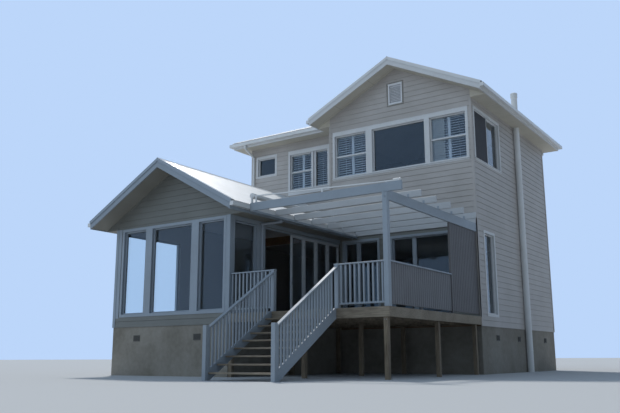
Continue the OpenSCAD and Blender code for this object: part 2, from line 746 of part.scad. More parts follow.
module deck_frame() color(timber) placed() union() {
  z = [deck_low, -board_t];
  block(deck_x, [wing_front, wing_front + 45], z);
  block(deck_x, [-45, 0], z);
  bays = 8;
  for (i = [0:bays]) {
    x = deck_x[0] + i * (deck_x[1] - deck_x[0] - 45) / bays;
    block([x, x + 45], [wing_front, 0], z);
  }
}

module deck_posts() color(timber) placed()
  for (x = [deck_x[0] + 60, (deck_x[0] + deck_x[1]) / 2, deck_x[1] - 50 - newel / 2],
    y = [wing_front + 60, wing_front / 2, -260])
    block([x - newel / 2, x + newel / 2], [y - newel / 2, y + newel / 2], [-deck_h, deck_low]);

// Stair

slope = riser / going;
string_t = 50;

module stair_strings() color(trim_white) placed() for (x = [newel_left, newel_right])
  translate([x - string_t / 2, 0, 0]) rotate([90, 0, 90]) linear_extrude(string_t)
    polygon([[wing_front, 0], [wing_front - 40 / slope, 0], [stair_foot, 40 - (risers - 1) * riser],
      [stair_foot, -deck_h], [wing_front - (deck_h - bearer_h - 20) / slope, -deck_h],
      [wing_front, -bearer_h - 20]]);

module stair_treads() color(timber) placed() for (i = [1:risers - 1])
  block([newel_left + string_t / 2, newel_right - string_t / 2],
    [wing_front - i * going, wing_front - (i - 1) * going - 5], [-i * riser - tread_t, -i * riser]);

// Balustrades

// Handrail, bottom rail and square balusters between two X positions
module railing(x, y) {
  block(x, [y - rail_w / 2, y + rail_w / 2], [rail_h - rail_t, rail_h]);
  block(x, [y - baluster / 2, y + baluster / 2], [80, 120]);
  count = floor((x[1] - x[0]) / baluster_pitch);
  step = (x[1] - x[0]) / count;
  for (i = [0.5:1:count]) translate([x[0] + i * step - baluster / 2, y - baluster / 2, 119])
    cube([baluster, baluster, rail_h - rail_t - 118]);
}

module newel_post(x, y, z) block([x - newel / 2, x + newel / 2], [y - newel / 2, y + newel / 2], z);

module left_balustrade() color(trim_white) placed() union() {
  newel_post(newel_left, newel_y, [0, rail_h - rail_t]);
  railing([wing_right, newel_left - newel / 2], newel_y);
  block([newel_left - newel / 2 - 1, newel_left + newel / 2 + 10],
    [newel_y - newel / 2 - 10, newel_y + newel / 2 + 10], [rail_h - rail_t, rail_h]);
}

module front_balustrade() color(trim_white) placed() union() {
  newel_post(newel_right, newel_y, [0, rail_h - rail_t]);
  railing([newel_right + newel / 2, main_x - post], newel_y);
  block([newel_right - newel / 2 - 10, newel_right + newel / 2 + 1],
    [newel_y - newel / 2 - 10, newel_y + newel / 2 + 10], [rail_h - rail_t, rail_h]);
}

// Sloping handrails on both sides of the stair, ending in newels on the ground
stair_rail = 925;
module stair_balustrades() color(trim_white) placed() for (x = [newel_left, newel_right]) {
  top = newel_y - newel / 2;
  foot = stair_foot;
  head_z = stair_rail + (top - wing_front) * slope;
  rail_z = stair_rail + (foot - wing_front) * slope;
  newel_post(x, foot - newel / 2, [-deck_h, rail_z + 40]);
  translate([x - rail_w / 2, 0, 0]) rotate([90, 0, 90]) linear_extrude(rail_w)
    polygon([[top, head_z], [top, head_z - 40], [foot, rail_z - 40], [foot, rail_z]]);
  count = floor((wing_front - foot) / baluster_pitch);
  step = (wing_front - foot) / count;
  for (i = [0.5:1:count - 1]) {
    y = [foot + i * step - baluster / 2, foot + i * step + baluster / 2];
    z = [(y[0] - wing_front) * slope, (y[1] - wing_front) * slope];
    translate([x - baluster / 2, 0, 0]) rotate([90, 0, 90]) linear_extrude(baluster)
      polygon([[y[0], z[0] + 40], [y[1], z[1] + 40], [y[1], z[1] + stair_rail - 39],
        [y[0], z[0] + stair_rail - 39]]);
  }
}

// Screens along the deck's right side

screen_x = main_x - 40;
module boarded(y, z) {
  block([screen_x - screen_t / 2, screen_x + screen_t / 2], y, z);
  block([screen_x - 30, screen_x + 30], y, [z[0], z[0] + 90]);
}

// Waist-high screen with a flat rail on top and a short post behind its middle
module low_screen() color(board_grey) placed() union() {
  y = [post_y + post / 2, -screen_l - newel / 2];
  boarded(y, [screen_gap, rail_h - rail_t]);
  block([main_x - rail_w, main_x], y, [rail_h - rail_t, rail_h]);
  mid = (y[0] + y[1]) / 2;
  block([main_x - newel, screen_x], [mid - newel / 2, mid + newel / 2], [0, rail_h - rail_t]);
}

// Full-height screen between its end post and the house wall, under the side beam
module high_screen() color(board_grey) placed() union() {
  top = beam_top - beam_h;
  boarded([-screen_l, 0], [screen_gap, top]);
  block([screen_x - 30, screen_x + 30], [-screen_l, 0], [rail_h, rail_h + 90]);
  block([screen_x - 30, screen_x + 30], [-screen_l, 0], [top - 90, top]);
  block([screen_x - 30, screen_x + 30], [-screen_l - newel / 2, -screen_l + newel / 2], [0, top]);
}

// Pergola

inner_x = wing_right + eave + gutter_w;
front_low = beam_top - front_drop;
rafter_top = beam_top + rafter_h;

// Corner post under the front beam, cut back at its head for the side beam
module pergola_post() color(trim_white) placed() difference() {
  block([main_x - post, main_x], [post_y - post / 2, post_y + post / 2], [0, front_low]);
  block([main_x - beam_t, main_x + 1], [post_y - post, post_y + post], [beam_top - beam_h, front_low + 1]);
}

// Front beam, side beam let into the post, and the thin bearer along the wing's gutter
module pergola_beams() color(trim_white) placed() union() {
  side = [main_x - beam_t, main_x];
  front = [post_y - beam_t / 2, post_y + beam_t / 2];
  block([inner_x, main_x + rafter_out + 50], front, [front_low, rafter_top]);
  block(side, [post_y - post / 2, 0], [beam_top - beam_h, front_low]);
  block(side, [front[1], 0], [front_low - 1, beam_top]);
  block([inner_x, inner_x + rafter_t], [post_y, 0], [beam_top - 60, beam_top]);
}

module pergola_rafters() color(trim_white) placed() {
  z = [beam_top, rafter_top];
  for (i = [1:5]) block([inner_x, main_x + rafter_out],
    [35 - i * rafter_pitch - rafter_t / 2, 35 - i * rafter_pitch + rafter_t / 2], z);
  block([inner_x, main_x], [-rafter_t, 0], z);
}

// Round cassette of the roller shade along the wing's eaves, on brackets
cassette_x = inner_x + 40;
module shade_cassette() color(trim_white) placed() union() {
  rod([cassette_x, post_y, cassette_z], [cassette_x, -120, cassette_z], cassette_d);
  for (y = [post_y, 35 - 3 * rafter_pitch, 35 - rafter_pitch])
    block([cassette_x - 20, cassette_x + 20], [y - rafter_t / 2, y + rafter_t / 2], [rafter_top, cassette_z]);
}

// Side guide of the shade above the front beam, falling slightly towards the right
module shade_guide() color(trim_white) placed() union() {
  from = [cassette_x + cassette_d / 2 + 2, cassette_z - 30];
  to = [main_x + rafter_out, rafter_top];
  translate([0, post_y + 15, 0]) rotate([90, 0, 0]) linear_extrude(30)
    polygon([from, to, to + [0, 28], from + [0, 28]]);
  fall = (to[1] - from[1]) / (to[0] - from[0]);
  for (x = [from[0] + 60, (from[0] + to[0]) / 2, to[0] - 330])
    block([x - 20, x + 20], [post_y - 15, post_y + 15], [rafter_top, from[1] + fall * (x - from[0]) + 14]);
}

base_walls();
ground_floor();
upper_floor();
wing_front_wall();
wing_right_wall();
wing_left_wall();
left_side_wall();
ground_rear_wall();
ground_right_wall();
deck_wall();
upper_front_wall();
upper_right_wall();
upper_rear_wall();
upper_left_walls();
main_roof();
wing_roof();
upper_fascias();
wing_fascias();
soffits();
upper_gutters();
wing_gutters();
ridge_caps();
downpipes();
flue_pipe();
gable_vent();
wing_front_frames();
wing_side_frames();
folding_doors();
deck_wall_frames();
upper_front_frames();
left_section_frames();
side_frames();
rear_frames();
ground_glass();
upper_glass();
window_shutters();
deck_floor();
deck_frame();
deck_posts();
stair_strings();
stair_treads();
left_balustrade();
front_balustrade();
stair_balustrades();
low_screen();
high_screen();
pergola_post();
pergola_beams();
pergola_rafters();
shade_cassette();
shade_guide();
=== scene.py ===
import math
import bmesh
import bpy
from mathutils import Matrix, Vector


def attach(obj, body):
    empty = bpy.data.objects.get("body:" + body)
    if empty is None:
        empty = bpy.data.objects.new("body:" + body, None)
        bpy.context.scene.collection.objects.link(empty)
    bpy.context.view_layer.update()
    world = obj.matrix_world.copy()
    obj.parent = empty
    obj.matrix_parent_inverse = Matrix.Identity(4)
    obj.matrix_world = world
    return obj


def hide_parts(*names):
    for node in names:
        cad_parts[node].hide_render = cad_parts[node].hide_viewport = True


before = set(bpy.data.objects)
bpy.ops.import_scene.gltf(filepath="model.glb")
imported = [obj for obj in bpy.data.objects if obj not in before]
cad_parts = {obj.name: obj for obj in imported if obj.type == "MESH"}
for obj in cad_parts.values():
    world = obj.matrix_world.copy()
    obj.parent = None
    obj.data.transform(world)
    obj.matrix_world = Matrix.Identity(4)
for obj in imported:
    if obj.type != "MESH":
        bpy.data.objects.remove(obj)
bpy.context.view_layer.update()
bpy.context.scene.view_settings.view_transform = "Standard"


# Viewpoint: a person below the garden looks up at the house from its front right corner.
# The camera's place, turn and lens were found from the vanishing points of the boards and posts.
bpy.ops.object.select_all(action="DESELECT")
eye, lens = (11.678, -18.803, 0.471), 42.036
yaw, pitch, roll = math.radians(34.366), math.radians(11.751), math.radians(-0.1825)
level = math.cos(pitch)
forward = Vector((-math.sin(yaw) * level, math.cos(yaw) * level, math.sin(pitch)))
right = Vector((math.cos(yaw), math.sin(yaw), 0))
up = right.cross(forward)
turned_right = right * math.cos(roll) + up * math.sin(roll)
turned_up = up * math.cos(roll) - right * math.sin(roll)
bpy.ops.object.camera_add()
camera = bpy.context.object
camera.matrix_world = (Matrix.Translation(eye)
                       @ Matrix((turned_right, turned_up, -forward)).transposed().to_4x4())
camera.data.sensor_width, camera.data.lens, camera.data.clip_end = 36, lens, 200
bpy.context.scene.camera = camera


# Daylight and ground: the sun stands behind the house at the left, so the fronts are lit by the sky
# alone, most of it from the open side at the left. The ground is one plain pale sheet.
def srgb(*channels):
    return tuple(((c / 255 + 0.055) / 1.055) ** 2.4 if c > 10 else c / 255 / 12.92
                 for c in channels) + (1.0,)


def new_node(tree, kind, values=None, **settings):
    """A shader node with its settings, and with values in the inputs named by label or number."""
    node = tree.nodes.new("ShaderNode" + kind)
    for key, value in settings.items():
        setattr(node, key, value)
    for socket, value in (values or {}).items():
        node.inputs[socket].default_value = value
    return node


def maths(tree, operation, *values):
    """A Math node whose first input is left free for a link, with values in the next ones."""
    return new_node(tree, "Math", dict(enumerate(values, 1)), operation=operation)


def wire(tree, *links):
    for start, way_out, end, way_in in links:
        tree.links.new(start.outputs[way_out], end.inputs[way_in])


sky = bpy.context.scene.world or bpy.data.worlds.new("sky")
bpy.context.scene.world = sky
sky.use_nodes = True
tree = sky.node_tree
tree.nodes.clear()
ray = new_node(tree, "LightPath")
seen, seen_or_passed = maths(tree, "MAXIMUM"), maths(tree, "MAXIMUM")
light = new_node(tree, "Background", {"Color": (0.64, 0.81, 1.0, 1), "Strength": 0.31})
view = new_node(tree, "Background", {"Color": srgb(188, 214, 250), "Strength": 1.0})
blend = new_node(tree, "MixShader")
world_out = new_node(tree, "OutputWorld")
wire(tree, (ray, "Is Camera Ray", seen, 0), (ray, "Is Glossy Ray", seen, 1),
     (seen, 0, seen_or_passed, 0), (ray, "Is Transmission Ray", seen_or_passed, 1),
     (seen_or_passed, 0, blend, 0), (light, 0, blend, 1), (view, 0, blend, 2),
     (blend, 0, world_out, 0))


def lamp(name, towards, energy, angle, colour):
    bpy.ops.object.light_add(type="SUN")
    lit = bpy.context.object
    lit.name = name
    lit.matrix_world = Vector(towards).to_track_quat("Z", "Y").to_matrix().to_4x4()
    lit.data.energy, lit.data.angle, lit.data.color = energy, math.radians(angle), colour
    return lit


lamp("sun", (-0.42, 0.40, 0.86), 2.2, 6, (1.0, 0.96, 0.90))
open_sky = lamp("open sky at the left", (-0.56, -0.77, 0.30), 1.05, 80, (0.68, 0.83, 1.0))
open_sky.visible_glossy = open_sky.visible_transmission = False

bpy.ops.mesh.primitive_plane_add(size=400, location=(0, 0, 0))
ground = bpy.context.object
ground.name = "ground"
ground_finish = bpy.data.materials.new("pale ground")
ground_finish.use_nodes = True
shader = ground_finish.node_tree.nodes["Principled BSDF"]
shader.inputs["Base Color"].default_value = srgb(186, 189, 192)
shader.inputs["Roughness"].default_value = 0.9
ground.data.materials.append(ground_finish)


# Base walls: rendered masonry from the ground to the floor, floated by hand and left matt.
# The house stands on them, and small cast grilles let air in under the floor.
floor_height = 1.53
# the house's own measure starts at the ridge line, the front wall and the floor
house = Matrix.Translation((1.925, 0.135, floor_height))
# faces of the walls: the block's and the left section's, then the wing's
right_face, rear_face, left_face, block_left, section_front = 2.4, 6.65, -6.25, -2.4, 0.8
wing_front, wing_right = -5.22, -2.07


def effect(name, **takes):
    """A node group for a surface, with its inputs, its outputs and its place stretched."""
    group = bpy.data.node_groups.new(name, "ShaderNodeTree")
    gives = {"Colour": "Color", "Roughness": "Float", "Height": "Float"}
    for way, sockets in (("INPUT", {"Position": "Vector", "Stretch": "Vector", **takes}),
                         ("OUTPUT", gives)):
        for label, kind in sockets.items():
            group.interface.new_socket(name=label, in_out=way, socket_type="NodeSocket" + kind)
    given, made = (group.nodes.new("NodeGroup" + way) for way in ("Input", "Output"))
    spread = new_node(group, "VectorMath", operation="MULTIPLY")
    wire(group, (given, "Position", spread, 0), (given, "Stretch", spread, 1))
    return group, given, made, spread


def noise(tree, scale, detail, roughness=0.5, distortion=0.0):
    return new_node(tree, "TexNoise", {"Scale": scale, "Detail": detail, "Roughness": roughness,
                                       "Distortion": distortion})


def ramp(tree, low, high, top=1.0, **settings):
    """Spreads what lies between two values from nothing to a top value."""
    return new_node(tree, "MapRange", {"From Min": low, "From Max": high, "To Min": 0.0,
                                       "To Max": top}, **settings)


def mixed(tree, colours, blend="MIX"):
    """A colour mix. The colours go by number: 6 is the one below, 7 the one above."""
    return new_node(tree, "Mix", colours, data_type="RGBA", blend_type=blend)


def weathered_paint():
    """Paint that has stood outdoors: soft patches of dust, fine streaks, and a brushed surface."""
    group, given, made, spread = effect("weathered paint", Colour="Color", Dust="Float",
                                        Shine="Float")
    streaks = noise(group, 1.0, 4.0, 0.6)
    patches = noise(group, 1.1, 5.0, 0.55)
    fine = noise(group, 26.0, 3.0, 0.6)
    both = maths(group, "MULTIPLY_ADD", 0.45)
    dusty = ramp(group, 0.45, 1.0)
    amount = maths(group, "MULTIPLY")
    darker = mixed(group, {7: srgb(176, 170, 158)}, "MULTIPLY")
    sheen = maths(group, "MULTIPLY_ADD", 0.22)
    relief = maths(group, "MULTIPLY_ADD", 0.5)
    wire(group, (spread, 0, streaks, "Vector"), (given, "Position", patches, "Vector"),
         (given, "Position", fine, "Vector"), (streaks, 0, both, 0), (patches, 0, both, 2),
         (both, 0, dusty, "Value"), (dusty, 0, amount, 0), (given, "Dust", amount, 1),
         (amount, 0, darker, "Factor"), (given, "Colour", darker, 6), (darker, 2, made, "Colour"),
         (fine, 0, sheen, 0), (given, "Shine", sheen, 2), (sheen, 0, made, "Roughness"),
         (fine, 0, relief, 0), (streaks, 0, relief, 2), (relief, 0, made, "Height"))
    return group


def start_material(name):
    material = bpy.data.materials.new(name)
    material.use_nodes = True
    tree = material.node_tree
    return material, tree, tree.nodes["Principled BSDF"], new_node(tree, "TexCoord")


def surfaced(name, look, values, relief, depth):
    """A material whose colour, roughness and relief come from one of the effects."""
    material, tree, shader, place = start_material(name)
    surface = new_node(tree, "Group", values, node_tree=look)
    bump = new_node(tree, "Bump", {"Strength": relief, "Distance": depth})
    wire(tree, (place, "Object", surface, "Position"), (surface, "Colour", shader, "Base Color"),
         (surface, "Roughness", shader, "Roughness"), (surface, "Height", bump, "Height"),
         (bump, 0, shader, "Normal"))
    return material


paint_effect = weathered_paint()


def painted(name, colour, stretch=(4, 60, 60), dust=0.3, shine=0.45, relief=0.15, depth=0.001):
    return surfaced(name, paint_effect, {"Stretch": stretch, "Colour": colour, "Dust": dust,
                                         "Shine": shine}, relief, depth)


def finish_nodes(material, *names):
    for name in names:
        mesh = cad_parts[name].data
        mesh.materials.clear()
        mesh.materials.append(material)


render_coat = painted("floated render", srgb(150, 146, 138), stretch=(9, 9, 9), dust=0.75,
                      shine=0.72, relief=0.6, depth=0.004)
finish_nodes(render_coat, "base_walls")


def only(piece):
    bpy.ops.object.select_all(action="DESELECT")
    piece.select_set(True)
    bpy.context.view_layer.objects.active = piece


def start(primitive_add, **settings):
    """A primitive with nothing else selected."""
    bpy.ops.object.select_all(action="DESELECT")
    primitive_add(**settings)
    return bpy.context.object


def scaled(piece, size):
    piece.scale = size
    bpy.ops.object.transform_apply()
    return piece


def pick(test):
    """Selects the vertices of the mesh in hand that pass a test on their place."""
    bpy.context.tool_settings.mesh_select_mode = (True, False, False)
    mesh = bmesh.from_edit_mesh(bpy.context.object.data)
    for vertex in mesh.verts:
        vertex.select_set(test(vertex.co))
    mesh.select_flush_mode()
    bmesh.update_edit_mesh(bpy.context.object.data)


def everywhere(place):
    return True


def shape(piece, test, operator, **settings):
    """Runs an edit-mode operator on the part of a piece that passes the test."""
    only(piece)
    bpy.ops.object.mode_set(mode="EDIT")
    pick(test)
    operator(**settings)
    bpy.ops.object.mode_set(mode="OBJECT")
    return piece


def ease_edges(piece, width):
    return shape(piece, everywhere, bpy.ops.mesh.bevel, offset=width, segments=1, affect="EDGES")


def board(low, high, edge=0.003):
    """A sawn length between two corners, planed and with its edges eased."""
    piece = start(bpy.ops.mesh.primitive_cube_add, size=1,
                  location=[(a + b) / 2 for a, b in zip(low, high)])
    return ease_edges(scaled(piece, [b - a for a, b in zip(low, high)]), edge)


def changed(piece, kind, **settings):
    """Gives a piece one modifier and applies it."""
    only(piece)
    change = piece.modifiers.new("change", kind)
    for key, value in settings.items():
        setattr(change, key, value)
    bpy.ops.object.modifier_apply(modifier="change")
    return piece


def repeat(piece, count, step, merge=False):
    return changed(piece, "ARRAY", count=count, use_relative_offset=False,
                   use_constant_offset=True, constant_offset_displace=step,
                   use_merge_vertices=merge, merge_threshold=0.0002)


def copy_of(piece):
    twin = piece.copy()
    twin.data = piece.data.copy()
    bpy.context.collection.objects.link(twin)
    return twin


def put(piece, matrix):
    only(piece)
    piece.matrix_world = matrix
    bpy.ops.object.transform_apply()
    return piece


def turned(x, y, z, angle, axis="Z"):
    """The move to a place, after a turn in degrees."""
    return Matrix.Translation((x, y, z)) @ Matrix.Rotation(math.radians(angle), 4, axis)


def join(parts):
    only(parts[0])
    for part in parts[1:]:
        part.select_set(True)
    bpy.ops.object.join()
    return bpy.context.object


turns = {"front": 0, "right": 90, "left": -90, "rear": 180}


def against(piece, side, distance):
    """Turns a piece made along X with its face to -Y so that it lies on one side of the house."""
    x, y = (0, distance) if side in ("front", "rear") else (distance, 0)
    return put(piece, turned(x, y, 0, turns[side]))


def all_against(pieces, side, distance):
    return [against(piece, side, distance) for piece in pieces]


def place_in_house(piece, name, material, nodes):
    """Names a finished piece, paints it and fixes it to the house, in the place of CAD nodes."""
    piece.name = piece.data.name = name
    piece.data.materials.clear()
    piece.data.materials.append(material)
    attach(piece, "root")
    for node in nodes:
        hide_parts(node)


def fit(parts, name, material, slot, *nodes):
    """Joins parts made in the house's own measure and moves them to their place."""
    place_in_house(put(join(parts), house), name, material, nodes)


dark_metal = painted("grille metal", srgb(92, 90, 86), dust=0.4, shine=0.5)


def grille(x, z):
    plate = board((x - 0.12, -0.012, z - 0.08), (x + 0.12, 0, z + 0.08), 0.002)
    shape(plate, lambda place: place.y < -0.011, bpy.ops.mesh.inset, thickness=0.014, depth=-0.006)
    bar = board((x - 0.1, -0.011, z - 0.062), (x - 0.094, -0.004, z + 0.062), 0.001)
    return join([plate, repeat(bar, 11, (0.0194, 0, 0))])


grille_level = -0.55
grilles = [against(grille(x, grille_level), side, face) for side, face, row in (
    ("right", right_face, (1.2, 3.0, 5.6)), ("rear", rear_face, (-1.2, 1.6, 4.6)),
    ("left", left_face, (-5.4, -3.0, -0.2, 3.6)), ("front", wing_front, (-5.3, -3.1)))
    for x in row]
fit(grilles, "base_grilles", dark_metal, "base")


# Floors: tongue and groove boards on joists, oiled inside. Their edges are covered by the wall
# boards, and the upper floor is lined below as a ceiling.
def timber_grain():
    """Long grain with darker growth lines and small knots, stretched along the piece."""
    group, given, made, spread = effect("timber grain", Light="Color", Dark="Color",
                                        Shine="Float")
    rings = noise(group, 1.0, 6.0, 0.62, 0.6)
    tone = noise(group, 2.3, 2.0)
    share = maths(group, "MULTIPLY_ADD", 0.5)
    lines = ramp(group, 0.5, 1.0)
    grown = mixed(group, {})
    sheen = maths(group, "MULTIPLY_ADD", 0.25)
    wire(group, (spread, 0, rings, "Vector"), (given, "Position", tone, "Vector"),
         (tone, 0, share, 0),
         (rings, 0, share, 2), (share, 0, lines, "Value"), (lines, 0, grown, "Factor"),
         (given, "Light", grown, 6), (given, "Dark", grown, 7), (grown, 2, made, "Colour"),
         (rings, 0, sheen, 0), (given, "Shine", sheen, 2), (sheen, 0, made, "Roughness"),
         (rings, 0, made, "Height"))
    return group


grain_effect = timber_grain()


def timber(name, light_tone, dark_tone, stretch, shine):
    return surfaced(name, grain_effect, {"Stretch": stretch, "Light": light_tone,
                                         "Dark": dark_tone, "Shine": shine}, 0.3, 0.0015)


def through(tree, way_out, *nodes):
    """Leads an output through nodes in a row, each by its first sockets."""
    for node in nodes:
        tree.links.new(way_out, node.inputs[0])
        way_out = node.outputs[0]
    return way_out


def coat_over(material, mask, colour, blend="MULTIPLY"):
    """Lays a colour over a finish where the mask, made from the place on the house, is 1."""
    tree = material.node_tree
    base = tree.nodes["Principled BSDF"].inputs["Base Color"]
    below = base.links[0].from_socket
    place = next(node for node in tree.nodes if node.type == "TEX_COORD")
    split = new_node(tree, "SeparateXYZ")
    coat = mixed(tree, {7: colour}, blend)
    wire(tree, (place, "Object", split, 0))
    tree.links.new(mask(tree, split), coat.inputs["Factor"])
    tree.links.new(below, coat.inputs[6])
    tree.links.new(coat.outputs[2], base)


ceiling_height = 2.7
floor_timber = timber("oiled floor", srgb(132, 98, 66), srgb(84, 58, 38), (24, 1.5, 24), 0.3)
coat_over(floor_timber,
          lambda tree, split: through(tree, split.outputs["Z"], maths(
              tree, "COMPARE", floor_height + ceiling_height, 0.02)), srgb(176, 175, 171), "MIX")
finish_nodes(floor_timber, "ground_floor", "upper_floor")


# Outer walls: timber frames lined inside with plasterboard, which shows through the windows.
# Their openings are cut right through, with square reveals.
plaster = painted("lined wall", srgb(150, 148, 143), stretch=(3, 3, 3), dust=0.15, shine=0.7,
                  relief=0.05)
finish_nodes(plaster, "wing_front_wall", "wing_right_wall", "wing_left_wall", "left_side_wall",
             "ground_rear_wall", "ground_right_wall", "deck_wall", "upper_front_wall",
             "upper_right_wall", "upper_rear_wall", "upper_left_walls")


# Weatherboards: wedge-shaped boards nailed to the frame, each lapping the one below, painted a pale
# warm grey, and a deeper grey on the wing and round the deck. The lower edge of each casts a thin
# shadow line, and a band of painted shade with dust darkens the top of each course under it.
exposure, first_course, storey = 0.165, -0.25, 2.72
wall_tone, low_wall_tone = srgb(185, 181, 178), srgb(119, 121, 117)


def lap_shade_and_dirt(tree, split):
    """A mask of painted shade and dust that grows towards the top of each course, where the next
    board laps it.
    """
    courses = maths(tree, "MULTIPLY_ADD", 1 / exposure, -(floor_height + first_course) / exposure)
    return through(tree, split.outputs["Z"], courses, maths(tree, "FRACT"),
                   ramp(tree, 0.92, 1.0, 0.35, interpolation_type="SMOOTHSTEP"))


board_paint, low_board_paint = (
    painted(name, tone, stretch=(3, 3, 55), dust=0.35, shine=0.42, relief=0.25)
    for name, tone in (("upper weatherboard paint", wall_tone),
                       ("wing weatherboard paint", low_wall_tone)))
# the top of each course is darkened under the lap above: painted shade, with dust
for boarding in (board_paint, low_board_paint):
    coat_over(boarding, lap_shade_and_dirt, srgb(120, 116, 108))

one_board = board((0, -0.020, 0), (1, 0, exposure), 0.0015)
shape(one_board, lambda place: place.y < -0.01 and place.z > exposure / 2,
      bpy.ops.transform.translate, value=(0, 0.013, 0))


def saw(piece, point, away, fill=True):
    """Saws off what lies beyond a plane."""
    return shape(piece, everywhere, bpy.ops.mesh.bisect, plane_co=point, plane_no=away,
                 clear_outer=True, use_fill=fill)


def field(x, z):
    """Courses of boards that fill one plain field of a wall."""
    low = math.floor((z[0] - first_course) / exposure + 1e-6)
    high = math.ceil((z[1] - first_course) / exposure - 1e-6)
    base = first_course + low * exposure
    size = Matrix.Diagonal((x[1] - x[0], 1, 1, 1))
    courses = put(copy_of(one_board), Matrix.Translation((x[0], 0, base)) @ size)
    repeat(courses, high - low, (0, 0, exposure))
    if z[0] - base > 0.001:
        saw(courses, (0, 0, z[0]), (0, 0, -1))
    if first_course + high * exposure - z[1] > 0.001:
        saw(courses, (0, 0, z[1]), (0, 0, 1))
    return courses


def clad(span, levels, holes=()):
    """Fills a wall with boards round its windows and their trim, wider above or below some."""
    margin = 0.062
    cut = []
    for hole in holes:
        left, right_end, low, high = hole
        head, foot = wide_trim.get(hole, (margin, margin))
        cut.append((left - margin, right_end + margin, low - foot, high + head))
    lines = sorted({*span} | {x for h in cut for x in h[:2] if span[0] < x < span[1]})
    fields = []
    for left, right_end in zip(lines, lines[1:]):
        inside = sorted(h[2:] for h in cut if h[0] < (left + right_end) / 2 < h[1])
        z = levels[0]
        for bottom, top in inside + [(levels[1], levels[1])]:
            if bottom - z > 0.004:
                fields.append(field((left, right_end), (z, bottom)))
            z = max(z, top)
    return join(fields)


# openings as left, right, foot and head, seen from outside on their own wall
front_windows = [(-2.225, -1.061, 4.5, 5.89), (-0.86, 0.945, 4.5, 5.89), (1.085, 2.24, 4.5, 5.89)]
all_front = (-2.225, 2.24, 4.5, 5.89)
left_windows = [(-5.995, -5.21, 5.25, 5.905), (-4.575, -2.64, 4.565, 5.84)]
deck_windows = [(-1.909, -0.729, 0.09, 2.385), (-0.249, 1.555, 0.09, 2.385)]
side_windows = [(0.179, 2.166, 4.498, 5.978), (0.52, 1.27, 0.09, 2.385)]
wing_left_window = (2.85, 4.96, 0.09, 2.385)
rear_windows = [(a, b, c, d) for a, b in ((-1.5, -0.3), (3.3, 4.5))
                for c, d in ((0.9, 2.385), (4.27, 5.915))]
vent_hole = (-0.233, 0.233, 6.55, 7.205)
wide_trim = {all_front: (0.117, 0.062), left_windows[1]: (0.117, 0.177)}
soffit, wing_soffit, wing_axis = 6.265, 2.49, -4.16
main_slope, left_slope, wing_slope = (math.tan(math.radians(a)) for a in (26, 22, 29))


def boards_on(name, coat, *parts):
    fit(list(parts), name + "_weatherboards", coat, "weatherboard")


def sawn_to_roof(boards, axis, top, slope):
    for side in (-1, 1):
        saw(boards, (axis, 0, top), (side * slope, 0, 1))
    return boards


whole_height = (first_course, soffit)
boards_on("front", board_paint, sawn_to_roof(
    clad((block_left, right_face), (storey, 7.66), [all_front, vent_hole]), 0, 7.668, main_slope))
boards_on("deck", low_board_paint, clad((wing_right, right_face), (0.0, storey), deck_windows))
gable = sawn_to_roof(clad((left_face, wing_right), (2.478, 3.9)), wing_axis, 3.914, wing_slope)
boards_on("wing_gable", low_board_paint, against(
    join([gable, clad((left_face, wing_right), (first_course, 0.028))]), "front", wing_front))
boards_on("left_section", board_paint,
          against(clad((left_face, block_left), (3.0, soffit), left_windows), "front",
                  section_front),
          against(clad((-section_front, 0), (3.0, soffit)), "left", block_left))
for name, coat, side, face, *area in (
        ("right", board_paint, "right", right_face, (0, rear_face), whole_height, side_windows),
        ("rear", board_paint, "rear", rear_face, (block_left, -left_face), whole_height,
         rear_windows),
        ("left", board_paint, "left", left_face, (-rear_face, -section_front), whole_height),
        ("wing_left", low_board_paint, "left", left_face, (-section_front, -wing_front),
         (first_course, wing_soffit), [wing_left_window]),
        ("wing_foot", low_board_paint, "right", wing_right, (wing_front, 0),
         (first_course, 0.0))):
    boards_on(name, coat, against(clad(*area), side, face))
bpy.data.objects.remove(one_board)


# Corner boards and scribing strips: planed stops nailed over the board ends at each outside corner,
# and thin strips where the boards meet the sloping linings. All are painted with their wall.
stop_paint, low_stop_paint = (
    painted(name, tone, stretch=(40, 40, 3), dust=0.3, shine=0.4)
    for name, tone in (("corner paint", wall_tone), ("wing corner paint", low_wall_tone)))
wing_edge, wing_half = 2.725, 2.575  # height and half width of the wing's roof at its fascias


def corner(x, y, low, turn=0):
    faces = [board((-0.045, -0.026, low), (0.026, 0.0, soffit)),
             board((0.0, -0.001, low), (0.026, 0.045, soffit))]
    return put(join(faces), turned(x, y, 0, turn))


def roof_over_wing(x):
    return wing_edge + wing_slope * (wing_half - abs(x - wing_axis))


def scribe(apex, slope, length, side):
    ends = (0, length) if side > 0 else (-length, 0)
    strip = board((ends[0], -0.030, -0.034), (ends[1], 0, 0), 0.004)
    return put(strip, turned(*apex, side * math.degrees(math.atan(slope)), "Y"))


stops = [corner(right_face, 0, storey), corner(right_face, rear_face, first_course, 90),
         corner(left_face, rear_face, first_course, 180),
         corner(block_left, 0, roof_over_wing(block_left) - 0.1, -90),
         corner(left_face, section_front, roof_over_wing(left_face) - 0.1, -90),
         board((2.374, -0.026, 0), (2.426, 0, storey)),
         board((right_face, -0.026, first_course), (2.426, 0.072, storey))]
for side in (1, -1):
    stops.append(scribe((0, 0, 7.672), main_slope, 2.66, side))
for left, right_end, front, back in ((right_face, 2.424, 0.0, rear_face),
                                     (-2.424, block_left, 0.0, section_front),
                                     (left_face, block_left, 0.776, section_front),
                                     (-6.274, left_face, section_front, rear_face),
                                     (left_face, right_face, rear_face, 6.674)):
    stops.append(board((left, front, soffit - 0.03), (right_end, back, soffit)))
fit(stops, "corner_boards", stop_paint, "weatherboard")
fit([scribe((wing_axis, wing_front, 3.917), wing_slope, 2.38, side) for side in (1, -1)],
    "wing_scribing_strips", low_stop_paint, "weatherboard")


